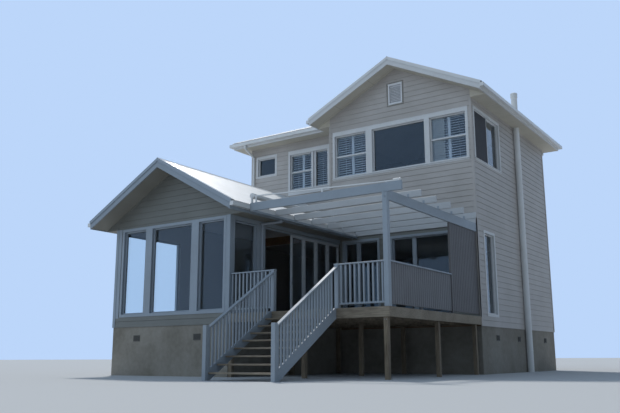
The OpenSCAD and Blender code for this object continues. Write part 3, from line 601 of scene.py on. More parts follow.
# Roof sheets: corrugated steel rolled to a 76 mm wave, screwed to battens and running from ridge to
# gutter, in a pale factory coat. Hips and valleys are cut on the slant.
def coated_steel(name, tone, dust=0.2, shine=0.28):
    material = painted(name, tone, stretch=(5, 5, 5), dust=dust, shine=shine, relief=0.08,
                       depth=0.0006)
    material.node_tree.nodes["Principled BSDF"].inputs["Coat Weight"].default_value = 0.15
    return material


roof_coat = coated_steel("roof steel", srgb(226, 229, 232), dust=0.22, shine=0.34)
finish_nodes(roof_coat, "main_roof", "wing_roof", "ridge_caps")

wave, crest, wave_steps = 0.076, 0.014, 6
one_wave = start(bpy.ops.mesh.primitive_grid_add, x_subdivisions=wave_steps, y_subdivisions=1,
                 size=1, location=(wave / 2, 0.5, 0))
scaled(one_wave, (wave, 1, 1))
for step in range(wave_steps + 1):
    rise = crest / 2 * (1 - math.cos(math.tau * step / wave_steps))
    shape(one_wave, lambda place: abs(place.x - step * wave / wave_steps) < 0.001,
          bpy.ops.transform.translate, value=(0, 0, rise))


def lay(piece, place, along, across, outward):
    """Moves a piece to a place, with its X, Y and Z turned to three directions."""
    lie = Matrix((along, across, outward)).transposed().to_4x4()
    return put(piece, Matrix.Translation(place) @ lie)


def thicken(piece, thickness, offset):
    return changed(piece, "SOLIDIFY", thickness=thickness, offset=offset)


def soften(piece, angle):
    bpy.ops.object.shade_smooth_by_angle(angle=math.radians(angle))
    return piece


def slope_sheets(foot, along, uphill, width, length, *cuts):
    """Sheets on one slope, from a foot corner: along the eaves, up the slope, sawn by planes."""
    sheet = put(copy_of(one_wave), Matrix.Diagonal((1, length, 1, 1)))
    repeat(sheet, math.ceil(width / wave), (wave, 0, 0), merge=True)
    if math.ceil(width / wave) * wave > width:
        saw(sheet, (width, 0, 0), (1, 0, 0), fill=False)
    along, uphill = Vector(along).normalized(), Vector(uphill).normalized()
    normal = along.cross(uphill)
    lay(sheet, Vector(foot) + normal * 0.003, along, uphill, normal)
    for point, away in cuts:
        saw(sheet, point, away, fill=False)
    return soften(thicken(sheet, 0.0012, 1), 50)


def run(rise, slope):
    return (rise * rise + (rise * slope) ** 2) ** 0.5


over = 0.045  # how far the sheets reach past the fascia into the gutter
edge, main_half, main_front, main_back = 6.5, 2.885, -0.5, 7.18
left_eave, front_eave, rear_eave = -6.735, 0.315, 7.135
wing_end = -5.82
hip_top, ridge = (0, 4.25, 0), edge + main_slope * main_half
left_half = (rear_eave - front_eave) / 2
left_ridge = edge + left_slope * left_half
wing_ridge = wing_edge + wing_slope * wing_half
main_run, left_run, wing_run = (run(half + over, slope) for half, slope in (
    (main_half, main_slope), (left_half, left_slope), (wing_half, wing_slope)))
main_foot, left_foot = edge - over * main_slope, edge - over * left_slope
wing_foot = wing_edge - over * wing_slope
# the valley against the gabled roof runs from the eaves corner to the lower ridge
valley = main_slope / left_slope
front_hip, rear_hip = (left_eave, front_eave, 0), (left_eave, rear_eave, 0)
upper_sheets = [
    slope_sheets((main_half + over, main_front, main_foot), (0, 1, 0), (-1, 0, main_slope),
                 7.68, main_run, (hip_top, (-1, 1, 0))),
    slope_sheets((-main_half - over, main_back, main_foot), (0, -1, 0), (1, 0, main_slope),
                 7.68, main_run, (hip_top, (1, 1, 0))),
    slope_sheets((2.93, rear_eave + over, main_foot), (-1, 0, 0), (0, -1, main_slope),
                 5.86, main_run, (hip_top, (1, -1, 0)), (hip_top, (-1, -1, 0))),
    slope_sheets((-6.78, front_eave - over, left_foot), (1, 0, 0), (0, 1, left_slope),
                 6.76, left_run, (front_hip, (-1, 1, 0)),
                 ((-main_half, front_eave, 0), (valley, -1, 0))),
    slope_sheets((0.0, rear_eave + over, left_foot), (-1, 0, 0), (0, -1, left_slope),
                 6.78, left_run, (rear_hip, (-1, -1, 0)),
                 ((-main_half, rear_eave, 0), (valley, 1, 0))),
    slope_sheets((left_eave - over, main_back, left_foot), (0, -1, 0), (1, 0, left_slope),
                 6.91, left_run, (front_hip, (1, -1, 0)), (rear_hip, (1, 1, 0)))]
fit(upper_sheets, "upper_roof_sheets", roof_coat, "roof_sheet")
wing_left_eave, wing_right_eave = wing_axis - wing_half - over, wing_axis + wing_half + over
wing_sheets = [
    slope_sheets((wing_left_eave, section_front, wing_foot), (0, -1, 0), (1, 0, wing_slope),
                 6.62, wing_run),
    slope_sheets((wing_right_eave, wing_end, wing_foot), (0, 1, 0), (-1, 0, wing_slope),
                 5.82, wing_run),
    slope_sheets((wing_right_eave, 0.0, wing_foot), (0, 1, 0), (-1, 0, wing_slope),
                 section_front, wing_run, ((-2.42, 0, 0), (1, 0, 0)))]
fit(wing_sheets, "wing_roof_sheets", roof_coat, "roof_sheet")
bpy.data.objects.remove(one_wave)


# Ridge and hip capping: a folded flashing with a rolled top that straddles the sheets and is
# screwed through their crests.
def draw_out(piece, test, step):
    return shape(piece, test, bpy.ops.mesh.extrude_region_move,
                 TRANSFORM_OT_translate={"value": step})


def face_outwards(piece):
    return shape(piece, everywhere, bpy.ops.mesh.normals_make_consistent)


def capping(begin, end, normal, roll=0.019, flange=0.105):
    """A capping from point to point. Its flanges lie on slopes like the one with this normal."""
    line = Vector(end) - Vector(begin)
    ahead = line.normalized()
    aside = Vector((0, 0, 1)).cross(ahead).normalized()
    drop = math.acos(min(1, abs(ahead.cross(Vector(normal).normalized()).dot(aside))))
    cap = start(bpy.ops.mesh.primitive_circle_add, vertices=16, radius=roll,
                rotation=(math.pi / 2, 0, math.pi / 2))
    bpy.ops.object.transform_apply()
    shape(cap, lambda place: place.z < -0.001, bpy.ops.mesh.delete, type="VERT")
    for side in (1, -1):
        draw_out(cap, lambda place: place.y * side > roll * 0.98,
                 (0, side * flange * math.cos(drop), -flange * math.sin(drop)))
        draw_out(cap, lambda place: place.y * side > flange / 2, (0, side * 0.004, -0.010))
    draw_out(cap, everywhere, (line.length, 0, 0))
    soften(thicken(face_outwards(cap), 0.0015, 0), 35)
    return lay(cap, Vector(begin) + Vector((0, 0, 0.010)), ahead, aside, ahead.cross(aside))


main_top, left_top = (0, hip_top[1], ridge), (-3.325, 3.725, left_ridge)
caps = [capping(*line) for line in (
    ((0, main_front, ridge), main_top, (main_slope, 0, 1)),
    ((main_half, rear_eave, edge), main_top, (main_slope, 0, 1)),
    ((-main_half, rear_eave, edge), main_top, (main_slope, 0, 1)),
    (left_top, (-0.06, 3.725, left_ridge), (0, -left_slope, 1)),
    ((left_eave, front_eave, edge), left_top, (0, -left_slope, 1)),
    ((left_eave, rear_eave, edge), left_top, (0, left_slope, 1)),
    ((wing_axis, wing_end, wing_ridge), (wing_axis, section_front, wing_ridge),
     (wing_slope, 0, 1)))]
fit(caps, "roll_top_cappings", roof_coat, "roof_sheet", "ridge_caps")


# Fascias and barge boards: primed boards nailed to the rafter ends, painted white, and grey on the
# wing. A folded steel edge covers the top of each barge board and the ends of the sheets.
grey_tone, steel_tone = srgb(150, 161, 172), srgb(224, 226, 227)


def trim_coat(name, tone, dust, shine=0.34, relief=0.12):
    return painted(name, tone, stretch=(14, 14, 14), dust=dust, shine=shine, relief=relief)


trim_paint = trim_coat("white timber paint", srgb(214, 216, 218), 0.22)
grey_paint = trim_coat("grey timber paint", grey_tone, 0.25, shine=0.38)
white_steel = coated_steel("white sheet metal", steel_tone)
grey_steel = coated_steel("grey sheet metal", grey_tone, shine=0.3)


def eased(node, name, material, width=0.003):
    """The solid of a planed piece with its sharp edges taken off, in the place of its node."""
    piece = copy_of(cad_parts[node])
    piece.parent = None
    for key in list(piece.keys()):
        del piece[key]
    shape(piece, everywhere, bpy.ops.mesh.remove_doubles, threshold=0.00005)
    shape(piece, everywhere, bpy.ops.mesh.dissolve_limited, angle_limit=math.radians(0.5))
    changed(piece, "BEVEL", width=width, segments=1, limit_method="ANGLE",
            angle_limit=math.radians(40))
    place_in_house(piece, name, material, [node])


finish_nodes(trim_paint, "upper_fascias")
finish_nodes(grey_paint, "wing_fascias")


def rake_edge(foot, slope, length, side):
    """Folded steel over a barge board, seen from the front: a top leg, a face and a drip."""
    top_leg = 0.115
    fold = start(bpy.ops.mesh.primitive_plane_add, size=1, location=(length / 2, top_leg / 2, 0))
    scaled(fold, (length, top_leg, 1))
    for step in ((0, -0.004, -0.004), (0, 0, -0.088), (0, -0.010, -0.006)):
        low = min(vertex.co.z for vertex in fold.data.vertices)
        front = min(vertex.co.y for vertex in fold.data.vertices)
        draw_out(fold, lambda place: place.z < low + 0.0005 and place.y < front + 0.0005, step)
    thicken(fold, 0.0016, 1)
    up_slope = Vector((-side, 0, slope)).normalized()
    normal = Vector((side * slope, 0, 1)).normalized()
    lay(fold, Vector(foot) + normal * 0.0195, up_slope, (0, 1, 0), normal)
    return face_outwards(fold)


fit([rake_edge((side * (main_half + over), main_front - 0.003, main_foot), main_slope, main_run,
               side) for side in (1, -1)], "barge_flashings", white_steel, "white_metal")
fit([rake_edge((wing_axis + side * (wing_half + over), wing_end - 0.003, wing_foot), wing_slope,
               wing_run, side) for side in (1, -1)],
    "wing_barge_flashings", grey_steel, "white_metal")


# Soffits: fibre-cement sheets with joints, painted an off-white, and a deeper grey under the wing.
# Where a boxed eaves meets a gable, a shaped return closes its end.
soffit_paint = painted("soffit paint", srgb(206, 201, 188), stretch=(3, 3, 3), dust=0.25,
                       shine=0.5, relief=0.08)
sheet_size, joint_share, wing_paint_top = 1.2, 0.006, floor_height + 3.95


def sheet_joints(tree, split):
    either = maths(tree, "MAXIMUM")
    for socket, axis in zip(either.inputs, "XY"):
        tree.links.new(through(tree, split.outputs[axis], maths(tree, "MULTIPLY", 1 / sheet_size),
                               maths(tree, "FRACT"), maths(tree, "LESS_THAN", joint_share)),
                       socket)
    return either.outputs[0]


def short_of(axis, level):
    """A mask of what lies below a level, or in front of it."""
    return lambda tree, split: through(tree, split.outputs[axis], maths(tree, "LESS_THAN", level))


coat_over(soffit_paint, short_of("Z", wing_paint_top), srgb(178, 180, 182))
coat_over(soffit_paint, sheet_joints, srgb(150, 146, 136), "MIX")
finish_nodes(soffit_paint, "soffits")


def eaves_return(x, wall, reach, y, low, top, slope, side):
    inner, outer = sorted((x + side * wall, x + side * reach))
    plate = board((inner, y - 0.016, low), (outer, y + 0.004, low + 0.34), 0.0015)
    return saw(plate, (x, 0, top + 0.003), (side * slope, 0, 1))


fit([eaves_return(0, 2.4, 2.855, 0.0, soffit, 7.672, main_slope, side) for side in (1, -1)],
    "eaves_returns", soffit_paint, "soffit_lining")
fit([eaves_return(wing_axis, 2.09, 2.545, y, wing_soffit, 3.917, wing_slope, side)
     for side, y in ((1, wing_front), (-1, wing_front), (-1, 0.795))],
    "wing_eaves_returns", low_stop_paint, "soffit_lining")


# Gutters: roll-formed steel with a beaded front lip, hung on strap brackets, with soldered stop
# ends.
finish_nodes(white_steel, "upper_gutters", "wing_gutters")


def bead(begin, end):
    """The rolled lip on the front edge of a gutter."""
    line = end - begin
    lip = start(bpy.ops.mesh.primitive_cylinder_add, vertices=10, radius=0.008, depth=line.length)
    ease_edges(lip, 0.002)
    turn = line.normalized().to_track_quat("Z", "X").to_matrix().to_4x4()
    return soften(put(lip, Matrix.Translation((begin + end) / 2) @ turn), 40)


def gutter_parts(top, *points):
    """Lip and straps for a gutter whose front top edge runs from point to point."""
    begin, end, outward = (Vector((*point, z)) for point, z in zip(points, (top, top, 0)))
    length = (end - begin).length
    ahead = (end - begin).normalized()
    parts = [bead(begin - outward * 0.0095, end - outward * 0.0095)]
    count = max(2, int(length / 0.9))
    for i in range(count):
        strap = board((-0.010, -0.115, -0.003), (0.010, -0.0005, 0.001), 0.0008)
        parts.append(lay(strap, begin + ahead * ((i + 0.5) * length / count), ahead, outward,
                         ahead.cross(outward)))
    return parts


def stop_end(x, y, top):
    return board((x, y - 0.004, top - 0.1), (x + 0.115, y + 0.004, top + 0.004), 0.002)


for name, top, runs, ends in (
        ("upper_gutter_fittings", 6.44,
         (((3.0, -0.5), (3.0, 7.25), (1, 0)), ((-6.85, 7.25), (3.0, 7.25), (0, 1)),
          ((-6.85, 0.2), (-6.85, 7.25), (-1, 0)), ((-6.85, 0.2), (-3.0, 0.2), (0, -1)),
          ((-3.0, -0.5), (-3.0, 0.2), (-1, 0))), ((2.885, -0.5), (-3.0, -0.5))),
        ("wing_gutter_fittings", 2.665,
         (((-1.47, -5.82), (-1.47, 0), (1, 0)), ((-6.85, -5.82), (-6.85, 0.8), (-1, 0))),
         ((-1.585, -5.82), (-6.85, -5.82), (-6.85, 0.8)))):
    fittings = [part for points in runs for part in gutter_parts(top, *points)]
    fit(fittings + [stop_end(x, y, top) for x, y in ends], name, white_steel, "white_metal")


# Downpipes: round pressed pipes painted white, and grey on the wing, held off the wall by clips
# with two screws each.
pipe_coat = coated_steel("downpipe steel", steel_tone)
coat_over(pipe_coat, short_of("Y", -2.0), srgb(168, 176, 186))
finish_nodes(pipe_coat, "downpipes")


def clip(radius, high=0.03):
    """A band round a pipe, with eased edges."""
    band = start(bpy.ops.mesh.primitive_cylinder_add, vertices=24, radius=radius, depth=high)
    return soften(ease_edges(band, 0.003), 35)


def clips_at(radius, x, y, levels, high=0.03):
    return [put(clip(radius, high), Matrix.Translation((x, y, z))) for z in levels]


bands = (clips_at(0.044, -2.03, -3.9646, (0.25, 1.1, 1.95))
         + clips_at(0.044, -6.16, 0.76, (3.6, 4.8, 5.8))
         + clips_at(0.044, 2.28, 6.69, (-1.2, 0.2, 1.6, 3.0, 4.4, 5.7)))
fit(bands, "downpipe_clips", pipe_coat, "white_metal")


# Flue: a double-skinned pipe up the right wall, with lapped joints, a flashing at the roof and a
# cowl.
finish_nodes(white_steel, "flue_pipe")
flue = (2.4975, 3.65)
joints = (clips_at(0.101, *flue, (-0.9, 0.35, 1.6, 2.85, 4.1, 5.35), 0.035)
          + clips_at(0.1145, *flue, (7.35, 7.42), 0.014))
collar = shape(clip(0.15, 0.16), lambda place: place.z > 0.05, bpy.ops.transform.resize,
               value=(0.68, 0.68, 1))
joints.append(put(collar, Matrix.Translation((*flue, 6.74))))
fit(joints, "flue_joints", white_steel, "white_metal")


# Gable vent: a framed louvre of painted slats, primed and nailed over an opening to the roof space.
# It has a sill below and a drip above. Its white is set lighter than the trim's, as painted light
# against the shade between the slats.
vent_lit_paint = trim_coat("vent paint with painted light", srgb(230, 232, 236), 0.15, relief=0.1)
finish_nodes(vent_lit_paint, "gable_vent")
fit([board((-0.25, -0.045, 6.532), (0.25, 0.0, 6.556), 0.004),
     board((-0.25, -0.038, 7.2), (0.25, 0.0, 7.219))], "vent_sill", trim_paint, "white_timber")


# Window and door frames: planed frames set back in the wall, with flat boards round them on the
# outside, a sloped sill below and a strip of flashing above. White, but grey at deck and wing.
for node, name, paint in (("wing_front_frames", "wing_front_joinery", grey_paint),
                          ("wing_side_frames", "wing_side_joinery", grey_paint),
                          ("deck_wall_frames", "deck_wall_joinery", grey_paint),
                          ("upper_front_frames", "upper_front_joinery", trim_paint),
                          ("left_section_frames", "left_section_joinery", trim_paint),
                          ("side_frames", "side_joinery", trim_paint),
                          ("rear_frames", "rear_joinery", trim_paint)):
    eased(node, name, paint)

trim_w, wide_w = 0.065, 0.12


def sill_and_head(hole, head_board=trim_w):
    left, right_end, low, high = hole
    out = trim_w + 0.01
    sill = board((left - out, -0.046, low - 0.030), (right_end + out, 0.052, low + 0.004))
    shape(sill, lambda place: place.y < -0.03 and place.z > low - 0.01,
          bpy.ops.transform.translate, value=(0, 0, -0.012))
    top, out = high + head_board, trim_w + 0.004
    return [sill, board((left - out, -0.032, top), (right_end + out, 0, top + 0.008), 0.0015)]


upper_sills = sill_and_head(all_front, wide_w)
for side, face, hole, head in (
        [("front", section_front, *pair) for pair in zip(left_windows, (trim_w, wide_w))]
        + [("right", right_face, side_windows[0], trim_w)]
        + [("rear", rear_face, hole, trim_w) for hole in rear_windows]):
    upper_sills += all_against(sill_and_head(hole, head), side, face)
fit(upper_sills, "sills_and_flashings", trim_paint, "white_timber")

# flat boards line the wing's side between its openings and cover its front corners
casing = [board((-4.066, -0.022, 0.0), (-3.8, 0, 2.4)),
          board((-3.8, -0.022, 2.385), (0, 0, wing_soffit)),
          board((-5.22, -0.022, 0.0), (-5.128, 0, wing_soffit)),
          board((-5.128, -0.020, 2.448), (-3.8, 0, wing_soffit)),
          board((-5.128, -0.020, 0.0), (-4.066, 0, 0.028))]
corners = [board((x[0], y[0], low), (x[1], y[1], wing_soffit)) for x, y, low in (
    ((-2.20, -2.074), (-5.237, -5.22), 0.0), ((-6.19, -6.06), (-5.237, -5.22), 0.0),
    ((-2.075, -2.044), (-5.246, -5.12), -0.25), ((-6.276, -6.18), (-5.246, -5.215), -0.25),
    ((-6.276, -6.25), (-5.22, -5.12), -0.25))]
fit(all_against(casing, "right", wing_right) + corners, "wing_casings", grey_paint,
    "white_timber")


# Glass: clear float sheets puttied into the frames. They mirror the sky and show dim rooms.
# Each sheet is a little uneven and carries a faint film.
def window_glass():
    material, tree, shader, place = start_material("window glass")
    for label, value in (("Base Color", (0.86, 0.92, 0.95, 1)), ("Transmission Weight", 1.0),
                         ("IOR", 1.46), ("Specular Tint", (0.74, 0.88, 1.0, 1))):
        shader.inputs[label].default_value = value
    film, smear = noise(tree, 1.6, 4.0), ramp(tree, 0.35, 0.75, 0.05)
    uneven = noise(tree, 0.9, 1.0)
    bump = new_node(tree, "Bump", {"Strength": 0.02, "Distance": 0.01})
    wire(tree, (place, "Object", film, "Vector"), (film, 0, smear, "Value"),
         (smear, 0, shader, "Roughness"), (place, "Object", uneven, "Vector"),
         (uneven, 0, bump, "Height"), (bump, 0, shader, "Normal"))
    return material


finish_nodes(window_glass(), "ground_glass", "upper_glass")


# Insect screens: dark woven mesh in slim frames, clipped outside the sashes that open. The mesh
# sags a little, so its tone varies.
def woven_mesh():
    material, tree, shader, place = start_material("insect mesh")
    shader.inputs["Alpha"].default_value = 0.82
    shader.inputs["Roughness"].default_value = 0.8
    sag, tone = noise(tree, 2.0, 2.0), mixed(tree, {6: srgb(58, 59, 64), 7: srgb(74, 75, 80)})
    wire(tree, (place, "Object", sag, "Vector"), (sag, 0, tone, "Factor"),
         (tone, 2, shader, "Base Color"))
    return material


def bars(ends, front, back, edge=0.003):
    """Boards of one depth, each between two places across and two levels."""
    return [board((x[0], front, z[0]), (x[1], back, z[1]), edge) for x, z in ends]


def screen_frame(hole, width=0.028):
    left, right_end, low, high = hole
    across, upwards = (left, right_end), (low, high)
    return bars([((left, left + width), upwards), ((right_end - width, right_end), upwards),
                 (across, (low, low + width)), (across, (high - width, high))],
                0.016, 0.030, 0.002)


def screen_sheet(hole, lap=0.02):
    left, right_end, low, high = hole
    return bars([((left + lap, right_end - lap), (low + lap, high - lap))], 0.022, 0.024,
                0.0005)


gap = 0.006
screened = [("right", right_face, (0.185, 1.235, 4.504, 5.972))] + [
    ("rear", rear_face, (a + gap, b - gap, c + gap, d - gap)) for a, b, c, d in rear_windows]
for make, name, material, slot in (
        (screen_frame, "insect_screen_frames", trim_paint, "white_timber"),
        (screen_sheet, "insect_screen_mesh", woven_mesh(), "screen_timber")):
    fit([part for side, face, hole in screened for part in all_against(make(hole), side, face)],
        name, material, slot)


# Plantation shutters: hinged panels of blades with rounded edges, hung behind the sashes of the
# bedroom windows and enamelled white. A tilt bar joins each bank of blades, and one bank stands
# closed, its blades in a darker copy of the enamel as painted shade.
shutter_paint, closed_shaded_paint = (
    painted(name, tone, stretch=(10, 10, 10), dust=0.1, shine=shine, relief=0.05)
    for name, tone, shine in (("shutter enamel", srgb(242, 243, 243), 0.25),
                              ("closed shutter enamel with painted shade", srgb(204, 205, 202), 0.3)))
stile, half_rail, blade_pitch = 0.042, 0.0315, 0.068


def blade_row(left, right_end, y, z, tilt):
    """A bank of slats that swell to their middle, turned about their long axes."""
    count = int((z[1] - z[0]) / blade_pitch)
    step = (z[1] - z[0]) / count
    slat = start(bpy.ops.mesh.primitive_cylinder_add, vertices=8, radius=1, depth=1,
                 rotation=(0, math.pi / 2, 0))
    bpy.ops.object.transform_apply()
    scaled(slat, (right_end - left, 0.035, 0.0045))
    put(slat, turned((left + right_end) / 2, y, z[0] + step / 2, -tilt, "X"))
    return repeat(slat, count, (0, 0, step))


def banks(low, high, split=True):
    """Heights of the banks of a panel, between its rails."""
    middle, rail = (low + high) / 2, 2 * half_rail
    if not split:
        return [(low + rail, high - rail)]
    return [(low + rail, middle - half_rail), (middle + half_rail, high - rail)]


def share_of(window, share):
    return window[0] + share * (window[1] - window[0])


def shutter_panel(window, shares, y, blades_from=None, tilt=-36, split=True):
    """A panel between two shares of a window's width."""
    left, right_end = (share_of(window, share) for share in shares)
    low, high = window[2:]
    middle, inner, outer = (low + high) / 2, left + stile, right_end - stile
    rails = [(low, low + 2 * half_rail), (high - 2 * half_rail, high)]
    if split:
        rails.append((middle - half_rail, middle + half_rail))
    parts = bars([((a, a + stile), (low, high)) for a in (left, outer)], y - 0.015, y + 0.015)
    parts += bars([((inner, outer), rail) for rail in rails], y - 0.014, y + 0.014)
    first = blades_from or inner
    bar = (first + outer) / 2
    for bank in banks(low, high, split):
        parts.append(blade_row(first, outer, y, bank, tilt))
        parts += bars([((bar - 0.006, bar + 0.006), (bank[0] + 0.02, bank[1] - 0.02))],
                      y + 0.036, y + 0.048, 0.002)
    return parts


left_pair, right_pair, far_window = front_windows[0], front_windows[2], left_windows[1]
left_y, right_y, far_y, closed_to = 0.185, 0.148, 0.948, right_pair[0] + 0.425
shutters = shutter_panel(left_pair, (0, 0.5), left_y, tilt=-42)
shutters += shutter_panel(left_pair, (0.5, 1), left_y, tilt=-42)
# the left pair hangs in a deep frame on the room's side of the wall
left, right_end, low, high = left_pair
rim = 0.03
shutters += bars([((left - rim, left), (low - rim, high + rim)),
                  ((right_end, right_end + rim), (low - rim, high + rim)),
                  ((left, right_end), (low - rim, low)), ((left, right_end), (high, high + rim))],
                 0.150, 0.245)
shutters += shutter_panel(right_pair, (0, 0.5), right_y, closed_to)
shutters += shutter_panel(right_pair, (0.5, 1), right_y)
for shares in ((0, 0.25), (0.25, 0.5), (0.5, 0.8)):
    shutters += shutter_panel(far_window, shares, far_y, split=shares[0] < 0.5)
fit(shutters, "plantation_shutters", shutter_paint, "white_timber", "window_shutters")
fit(bars([((share_of(far_window, 0.80), share_of(far_window, 0.86)), far_window[2:])], 0.79, 0.84),
    "left_window_mullion", trim_paint, "white_timber")
# the closed bank: the white enamel darkened as painted shade
fit([blade_row(right_pair[0] + stile, closed_to, right_y, bank, 62)
     for bank in banks(*right_pair[2:])], "closed_blades", closed_shaded_paint, "white_timber")


# Glazed doors: tall leaves hung together on a top track, folding back against the far wall. Each
# has a glazing bead, butt hinges on its joint and a lever on the leading leaf.
leaf_paint = trim_coat("door paint", srgb(186, 191, 197), 0.22)
eased("folding_doors", "door_leaves", leaf_paint)
brushed = coated_steel("brushed door metal", srgb(150, 152, 154), dust=0.1, shine=0.2)
brushed.node_tree.nodes["Principled BSDF"].inputs["Metallic"].default_value = 0.9
door_from, leaves = -2.522, 4
fittings = []
for i in range(1, leaves):
    fittings += clips_at(0.009, door_from * (1 - i / leaves), 0.041, (0.25, 1.15, 2.05), 0.09)
# plate, spindle and lever
fittings += [board((door_from + 0.020, 0.035, 0.93), (door_from + 0.052, 0.046, 1.13)),
             board((door_from + 0.030, 0.007, 1.035), (door_from + 0.042, 0.037, 1.047), 0.002),
             board((door_from + 0.030, -0.001, 1.033), (door_from + 0.158, 0.011, 1.049), 0.004)]
track = [board((-3.75, 0.035, -0.004), (0.0, 0.110, 0.012), 0.002),
         board((-3.75, 0.068, 0.010), (0.0, 0.078, 0.020), 0.001)]
for parts, name in ((fittings, "door_fittings"), (track, "door_track")):
    fit(all_against(parts, "right", wing_right), name, brushed, "white_metal")


# Deck: hardwood boards 90 mm wide, screwed to bearers and joists on square posts, and left to
# silver. A skirt board runs round its two open edges.
deck_wood = timber("silvered decking", srgb(158, 148, 132), srgb(104, 92, 78), (3, 40, 40), 0.62)
frame_wood, post_wood = (
    timber(name, srgb(140, 128, 110), srgb(92, 80, 66), stretch, 0.65)
    for name, stretch in (("deck framing", (6, 6, 6)), ("deck posts", (40, 40, 3))))
deck = repeat(board((wing_right, -5.225, -0.022), (right_face, -5.134, 0.0)), 55, (0, 0.0953, 0))
saw(deck, (0, -0.004, 0), (0, 1, 0))
skirt = [board((wing_right, -5.244, -0.222), (2.418, -5.222, -0.002)),
         board((right_face, wing_front, -0.222), (2.418, 0.0, -0.002))]
fit([deck] + skirt, "deck_boards", deck_wood, "deck_timber", "deck_floor")
finish_nodes(frame_wood, "deck_frame")
eased("deck_posts", "deck_stumps", post_wood, 0.004)


def facing_front(piece, *place):
    """Lays a round piece down with its axis to the front."""
    return put(piece, turned(*place, 90, "X"))


fit([facing_front(clip(0.011, 0.012), x + aside, -5.214, -0.275)
     for x in (-2.01, 0.165, 2.3) for aside in (-0.025, 0.025)],
    "deck_bolts", brushed, "white_metal")


# Stair: closed strings housed with hardwood treads, two boards to a tread with open risers.
# The strings are painted grey and the treads are left to silver.
eased("stair_strings", "stair_stringers", grey_paint)
going, riser, tread_board = 0.275, 0.17, 0.1325
treads = []
for i in range(1, 9):
    for j in (1, 2):
        front = wing_front - (i - 1) * going - 0.006 - j * tread_board
        treads.append(board((-0.715, front, -i * riser - 0.038),
                            (1.035, front + 0.128, -i * riser), 0.005))
fit(treads, "stair_tread_boards", deck_wood, "deck_timber", "stair_treads")


# Balustrades: square newels and balusters housed into a flat handrail and a square bottom rail. The
# stair's rails slope with its strings to newels on the ground. All are painted grey.
left_newel, right_newel, newel_row = -0.74, 1.06, -5.15
stair_foot, stair_slope, rail_head = -7.42, riser / going, -5.20


def upright(x, y, low, high, half=0.020, edge=0.003):
    return board((x - half, y - half, low), (x + half, y + half, high), edge)


def newel(x, y, low, high):
    return upright(x, y, low, high, 0.05, 0.004)


def level_railing(x, count, newel_x):
    """Rails between two places, with balusters spread evenly between them, and a capped newel."""
    step = (x[1] - x[0]) / count
    return [board((x[0], newel_row - 0.045, 0.968), (x[1], newel_row + 0.045, 1.0), 0.005),
            board((x[0], newel_row - 0.022, 0.08), (x[1], newel_row + 0.022, 0.12)),
            repeat(upright(x[0] + step / 2, newel_row, 0.11, 0.975), count, (step, 0, 0)),
            newel(newel_x, newel_row, 0, 0.970),
            upright(newel_x, newel_row, 0.968, 1.0, 0.060, 0.005)]


def sloping_railing(x):
    fall = (stair_foot - wing_front) * stair_slope
    rail = board((x - 0.045, stair_foot, 0.885 + fall), (x + 0.045, rail_head, 0.925 + fall), 0.005)
    shape(rail, lambda place: place.y > -6.0, bpy.ops.transform.translate,
          value=(0, 0, (rail_head - stair_foot) * stair_slope))
    step = (wing_front - stair_foot) / 20
    first = stair_foot + step / 2
    foot = (first - wing_front) * stair_slope
    return [rail, repeat(upright(x, first, foot + 0.03, foot + 0.90), 19,
                         (0, step, step * stair_slope)),
            newel(x, stair_foot - 0.05, -floor_height, 0.965 + fall)]


for parts, name, node in (
        (level_railing((wing_right, left_newel - 0.05), 11, left_newel),
         "left_rail", "left_balustrade"),
        (level_railing((right_newel + 0.05, 2.28), 10, right_newel),
         "front_rail", "front_balustrade"),
        (sloping_railing(left_newel) + sloping_railing(right_newel),
         "stair_rails", "stair_balustrades")):
    fit(parts, name, grey_paint, "white_timber", node)


# Screens: square-edged boards nailed upright to rails on the deck's side, with narrow open joints,
# painted a deep grey. The high one stands before the house wall, its boards in a darker copy of the
# grey as painted shade, and the low one carries a flat grey rail.
# the high screen's darker grey is painted shade
high_screen_shaded_paint, screen_paint = (
    painted(name, tone, stretch=(30, 30, 3), dust=0.4, shine=0.5)
    for name, tone in (("high screen paint with painted shade", srgb(99, 97, 98)),
                       ("screen paint", srgb(116, 116, 119))))
open_joint = 0.013


def screen(y, top, levels):
    """Upright boards from place to place along the deck's side, and the rails behind them."""
    count = round((y[1] - y[0]) / 0.109)
    step = (y[1] - y[0]) / count
    first = board((2.351, y[0], 0.06), (2.369, y[0] + step - open_joint, top))
    rails = [board((2.331, y[0], z), (2.351, y[1], z + 0.09)) for z in levels]
    return [repeat(first, count, (0, step, 0))], rails


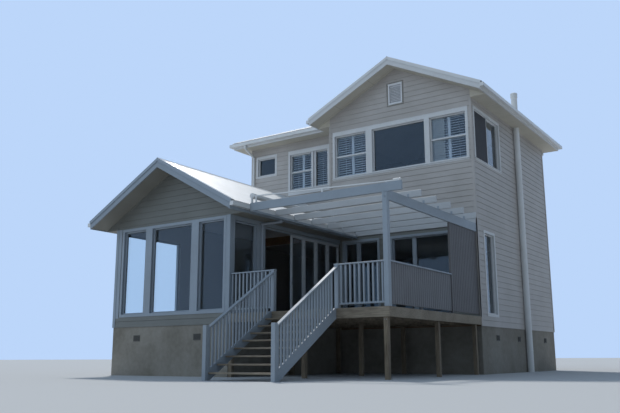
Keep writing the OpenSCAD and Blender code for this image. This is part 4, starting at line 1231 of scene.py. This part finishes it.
low_boards, low_rails = screen((-5.09, -1.85), 0.968, (0.06, 0.878))
fit(low_boards + low_rails, "low_screen_boards", screen_paint, "screen_timber", "low_screen")
high_boards, high_rails = screen((-1.79, -0.02), 2.325, (0.06, 1.0, 2.235))
end_post = board((2.331, -1.848, 0.0), (2.389, -1.79, 2.325), 0.004)
middle_post = board((2.302, -3.52, 0.0), (2.332, -3.42, 0.968), 0.004)
fit(high_boards + [end_post, middle_post] + high_rails,
    "high_screen_boards", high_screen_shaded_paint, "screen_timber", "high_screen")
fit([board((2.31, -5.09, 0.968), (right_face, -1.85, 1.0), 0.004)], "screen_rail", grey_paint,
    "white_timber")


# Pergola: a square post, a deep front beam and a side beam let into the post, all painted grey, and
# rafters that run to the wing's gutter and sit on the side beam in steel brackets. The rafters
# carry a paler copy of the grey, as painted light.
# the rafters' paler grey is painted light on their faces
rafter_lit_paint = painted("rafter paint with painted light", srgb(190, 194, 198), stretch=(3, 14, 14), dust=0.25,
                       shine=0.38, relief=0.12)
eased("pergola_post", "corner_post", grey_paint, 0.005)
eased("pergola_beams", "pergola_front_and_side_beams", grey_paint, 0.004)
eased("pergola_rafters", "pergola_rafter_set", rafter_lit_paint, 0.004)
angles = []
for i in range(1, 6):
    for side in (-1, 1):
        face = 0.035 - i * 0.825 + side * 0.0235
        for x, reach, top in (((2.345, 2.4), 0.003, 2.64), ((2.340, 2.345), 0.03, 2.553)):
            front, back = sorted((face, face + side * reach))
            angles.append(board((x[0], front, 2.50), (x[1], back, top), 0.0008))
heads = [facing_front(clip(0.012, 0.012), x, -5.212, z) for z in (2.40, 2.50)
         for x in (2.33, 2.36)]
fit(angles + heads, "pergola_brackets", grey_steel, "white_metal")


# Shade: a roller blind in a round metal cassette along the wing's gutter, with end caps, and a slim
# side guide above the front beam that ends in a bumper.
finish_nodes(white_steel, "shade_guide", "shade_cassette")


def round_cassette(band, y):
    return facing_front(band, -1.43, y, 2.9)


fitted = []
for y in (-5.15, -0.12):
    cap = shape(clip(0.0705, 0.02), lambda place: abs(place.z) > 0.0099, bpy.ops.mesh.inset,
                thickness=0.018, depth=-0.003)
    fitted.append(round_cassette(cap, y))
fitted += [round_cassette(clip(0.0705, 0.05), y) for y in (-3.9, -2.5, -1.2)]
pull = board((-1.372, -5.09, 2.862), (-1.350, -0.18, 2.900), 0.004)
fit(fitted + [pull], "shade_caps", white_steel, "white_metal")
fit([board((2.54, -5.172, 2.735), (2.73, -5.128, 2.775), 0.006)], "guide_bumper", white_steel,
    "white_metal")
